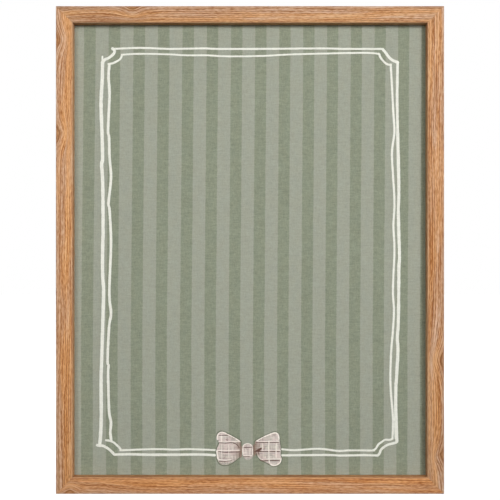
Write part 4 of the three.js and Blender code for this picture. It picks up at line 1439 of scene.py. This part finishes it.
class MEMO_OT_rings(bpy.types.Operator):
    """The D-rings of the hangers, bent from round wire"""

    bl_idname = "memo_board.rings"
    bl_label = "Hanger rings"

    def execute(self, context):
        for side in HANGERS:
            node = f"hanger_ring_{side}"
            rough = new_object(f"rough_{node}", ring_line(side))
            grow(rough, wire_ring, {"Wire radius": sizes().ring_wire / 2, "Material": zinc_plating()})
            belongs(settle(rough, f"zinc_{node}", smooth=60), node, "zinc_steel", node)
        return {"FINISHED"}


BUMPER_STEPS = 40
BUMPER_EDGE_STEPS = 6
BUMPER_FACE_SHARE = 0.76  # radius of the flat end in that of the bumper
BUMPER_EDGE_STRETCH = 1.6  # height of the rounded edge in its width
BUMPER_DIMPLE_SHARES = (0.55, 0.45)  # radii of the dimple's rim and bottom in that of the flat end
BUMPER_DIMPLE = 0.35 * MM


class MEMO_OT_bumpers(bpy.types.Operator):
    """Moulded rubber bumpers that keep the lower edge off the wall"""

    bl_idname = "memo_board.bumpers"
    bl_label = "Wall bumpers"

    def execute(self, context):
        rubber = rubber_material()
        dimple_rim, dimple_bottom = BUMPER_DIMPLE_SHARES
        for side in HANGERS:
            node = f"wall_bumper_{side}"
            low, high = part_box(node)
            radius = (high.x - low.x) / 2
            height = high.y - low.y
            face = radius * BUMPER_FACE_SHARE
            edge = radius - face
            edge_rise = edge * BUMPER_EDGE_STRETCH
            points = [(0, 0), (radius, 0)]
            points += arc((face, height - edge_rise), (edge, edge_rise), 0, 1, BUMPER_EDGE_STEPS)
            points += [(face * dimple_rim, height), (face * dimple_bottom, height - BUMPER_DIMPLE)]
            points += [(0, height - BUMPER_DIMPLE)]
            work = spin_profile(points, BUMPER_STEPS)
            middle = (low + high) / 2
            bmesh.ops.translate(work, verts=work.verts, vec=(middle.x, low.y, middle.z))
            rough = new_object(f"rough_{node}", mesh_of(node, work))
            belongs(settle(rough, f"rubber_bumper_{side}", rubber, smooth=40), BOARD, "rubber", node)
        return {"FINISHED"}


def seen_directly(nodes):
    """1 for rays from the camera, mirrored rays and rays through glass, which see the white studio."""
    rays = nodes.add("ShaderNodeLightPath").outputs
    seen = nodes.math("MAXIMUM", rays["Is Camera Ray"], rays["Is Glossy Ray"])
    return nodes.math("MAXIMUM", seen, rays["Is Transmission Ray"])


WHITE = (1.0, 1.0, 1.0, 1.0)
STUDIO_FRONT_TO_REAR = (0.07, 0.7)  # light of the studio in front of the board and behind it
STUDIO_LOW_TO_HIGH = (0.2, 1.3)  # what it is multiplied by below and above
STUDIO_DEPTHS = (-0.1, 0.5)  # parts of the way to the rear, and up, between which the light changes
STUDIO_HEIGHTS = (-0.5, 0.5)
FLOOR_GLOW = (0.52, 0.84)  # what the camera sees of the floor in deep shadow, near the board and far off
FLOOR_NEAR_TO_FAR = (0.8, 1.7)  # metres from the board
FLOOR_BOUNCE = 0.1  # share of the floor's colour that reaches the board as light
FLOOR_HALF = 6  # half the width of the floor, in metres


def studio_world():
    """White where it is seen; as light, bright behind the board, dim in front and dark below."""
    world = bpy.data.worlds.new("studio")
    world.use_nodes = True
    nodes = Nodes(world.node_tree)
    world.node_tree.nodes.clear()
    _, y, z = nodes.separate(nodes.add("ShaderNodeTexCoord").outputs["Generated"])
    behind = nodes.span(y, *STUDIO_DEPTHS, *STUDIO_FRONT_TO_REAR)
    level = nodes.product(behind, nodes.span(z, *STUDIO_HEIGHTS, *STUDIO_LOW_TO_HIGH))
    seen = seen_directly(nodes)
    strength = nodes.scaled(level, nodes.minus(1.0, seen), seen)
    light = nodes.add("ShaderNodeBackground", {"Color": WHITE, "Strength": strength})
    nodes.add("ShaderNodeOutputWorld", {"Surface": light.outputs[0]})
    return world


def floor_material():
    """A pale floor that looks white, keeps a soft shadow and throws little light back."""
    material = bpy.data.materials.new("studio_floor")
    material.use_nodes = True
    nodes = Nodes(material.node_tree)
    material.node_tree.nodes.clear()
    seen = seen_directly(nodes)
    dull = opaque(FLOOR_BOUNCE * part for part in shade("floor")[:3])
    pale = nodes.add("ShaderNodeBsdfDiffuse", {"Color": nodes.mix(seen, dull, shade("floor"))})
    place = nodes.add("ShaderNodeTexCoord").outputs["Object"]
    away = nodes.add("ShaderNodeVectorMath", {0: place}, operation="LENGTH").outputs["Value"]
    strength = nodes.product(seen, nodes.span(away, *FLOOR_NEAR_TO_FAR, *FLOOR_GLOW))
    glow = nodes.add("ShaderNodeEmission", {"Color": WHITE, "Strength": strength})
    both = nodes.add("ShaderNodeAddShader", {0: pale.outputs[0], 1: glow.outputs[0]})
    nodes.add("ShaderNodeOutputMaterial", {"Surface": both.outputs[0]})
    return material


# The lamps, in metres: place, aim, spread in degrees, width, and power in watts.
BOARD_AIM = (MIDDLE.x, FRAME_FRONT, -0.08)
SOFT_BOXES = {
    "key_light": ((1.33, -2.35, 0.61), BOARD_AIM, 50, 1.2, 5.92),
    "fill_light": ((-0.91, -2.35, 0.61), BOARD_AIM, 50, 1.2, 2.94),
    "back_light": ((-0.7, 1.5, 0.5), MIDDLE, 180, 1.0, 20.0),
}


def soft_box(name, place, aim, spread, width, watts):
    """A square lamp with a grid over it, which isn't itself in the picture."""
    light = bpy.data.lights.new(name, "AREA")
    light.shape = "SQUARE"
    light.size = width
    light.energy = watts
    light.spread = math.radians(spread)
    lamp = new_object(name, light)
    lamp.location = place
    lamp.rotation_euler = (Vector(aim) - Vector(place)).to_track_quat("-Z", "Y").to_euler()
    lamp.visible_camera = False
    lamp.visible_glossy = False


class MEMO_OT_stage(bpy.types.Operator):
    """The pale floor, the soft boxes and the camera"""

    bl_idname = "memo_board.stage"
    bl_label = "Stage, light and camera"

    def execute(self, context):
        size = sizes()
        scene = context.scene
        scene.view_settings.view_transform = "Standard"
        scene.world = studio_world()
        work = bmesh.new()
        bmesh.ops.create_grid(work, x_segments=1, y_segments=1, size=FLOOR_HALF)
        floor = new_object("floor", mesh_of("floor", work))
        floor.location.z = FRAME_FOOT - size.floor_drop
        floor.data.materials.append(floor_material())
        for name, lamp in SOFT_BOXES.items():
            soft_box(name, *lamp)
        lens = bpy.data.cameras.new("camera")
        lens.lens = size.camera_lens
        camera = new_object("camera", lens)
        camera.location = (MIDDLE.x, FRAME_FRONT - size.camera_distance, MIDDLE.z)
        camera.rotation_euler = (QUARTER_TURN, 0, 0)
        scene.camera = camera
        return {"FINISHED"}


OPERATORS = (
    MEMO_OT_rails, MEMO_OT_canvas, MEMO_OT_border, MEMO_OT_bow, MEMO_OT_backing, MEMO_OT_hardware,
    MEMO_OT_screws, MEMO_OT_rings, MEMO_OT_bumpers, MEMO_OT_stage,
)


class MEMO_PT_pieces(bpy.types.Panel):
    """Lists the pieces of the memo board in the order in which they are built"""

    bl_idname = "MEMO_PT_pieces"
    bl_label = "Memo board"
    bl_space_type = "VIEW_3D"
    bl_region_type = "UI"
    bl_category = "Memo board"

    def draw(self, context):
        for operator in OPERATORS:
            self.layout.operator(operator.bl_idname)
        for group in (context.scene.memo_board_sizes, context.scene.memo_board_colours):
            box = self.layout.box()
            for name in group.__annotations__:
                box.prop(group, name)


CLASSES = (MemoBoardSizes, MemoBoardColours, *OPERATORS, MEMO_PT_pieces)


def register():
    for cls in CLASSES:
        bpy.utils.register_class(cls)
    bpy.types.Scene.memo_board_sizes = bpy.props.PointerProperty(type=MemoBoardSizes)
    bpy.types.Scene.memo_board_colours = bpy.props.PointerProperty(type=MemoBoardColours)


def unregister():
    del bpy.types.Scene.memo_board_colours
    del bpy.types.Scene.memo_board_sizes
    for cls in reversed(CLASSES):
        bpy.utils.unregister_class(cls)


def main():
    register()
    for operator in OPERATORS:
        group, name = operator.bl_idname.split(".")
        getattr(getattr(bpy.ops, group), name)()
    printed = ["border_outer", "border_inner", "bow_shadow", "bow_ribbon", "bow_folds", "bow_crease"]
    printed += ["bow_knot", "bow_brown_lines", "bow_white_lines"]


if __name__ == "__main__":
    main()
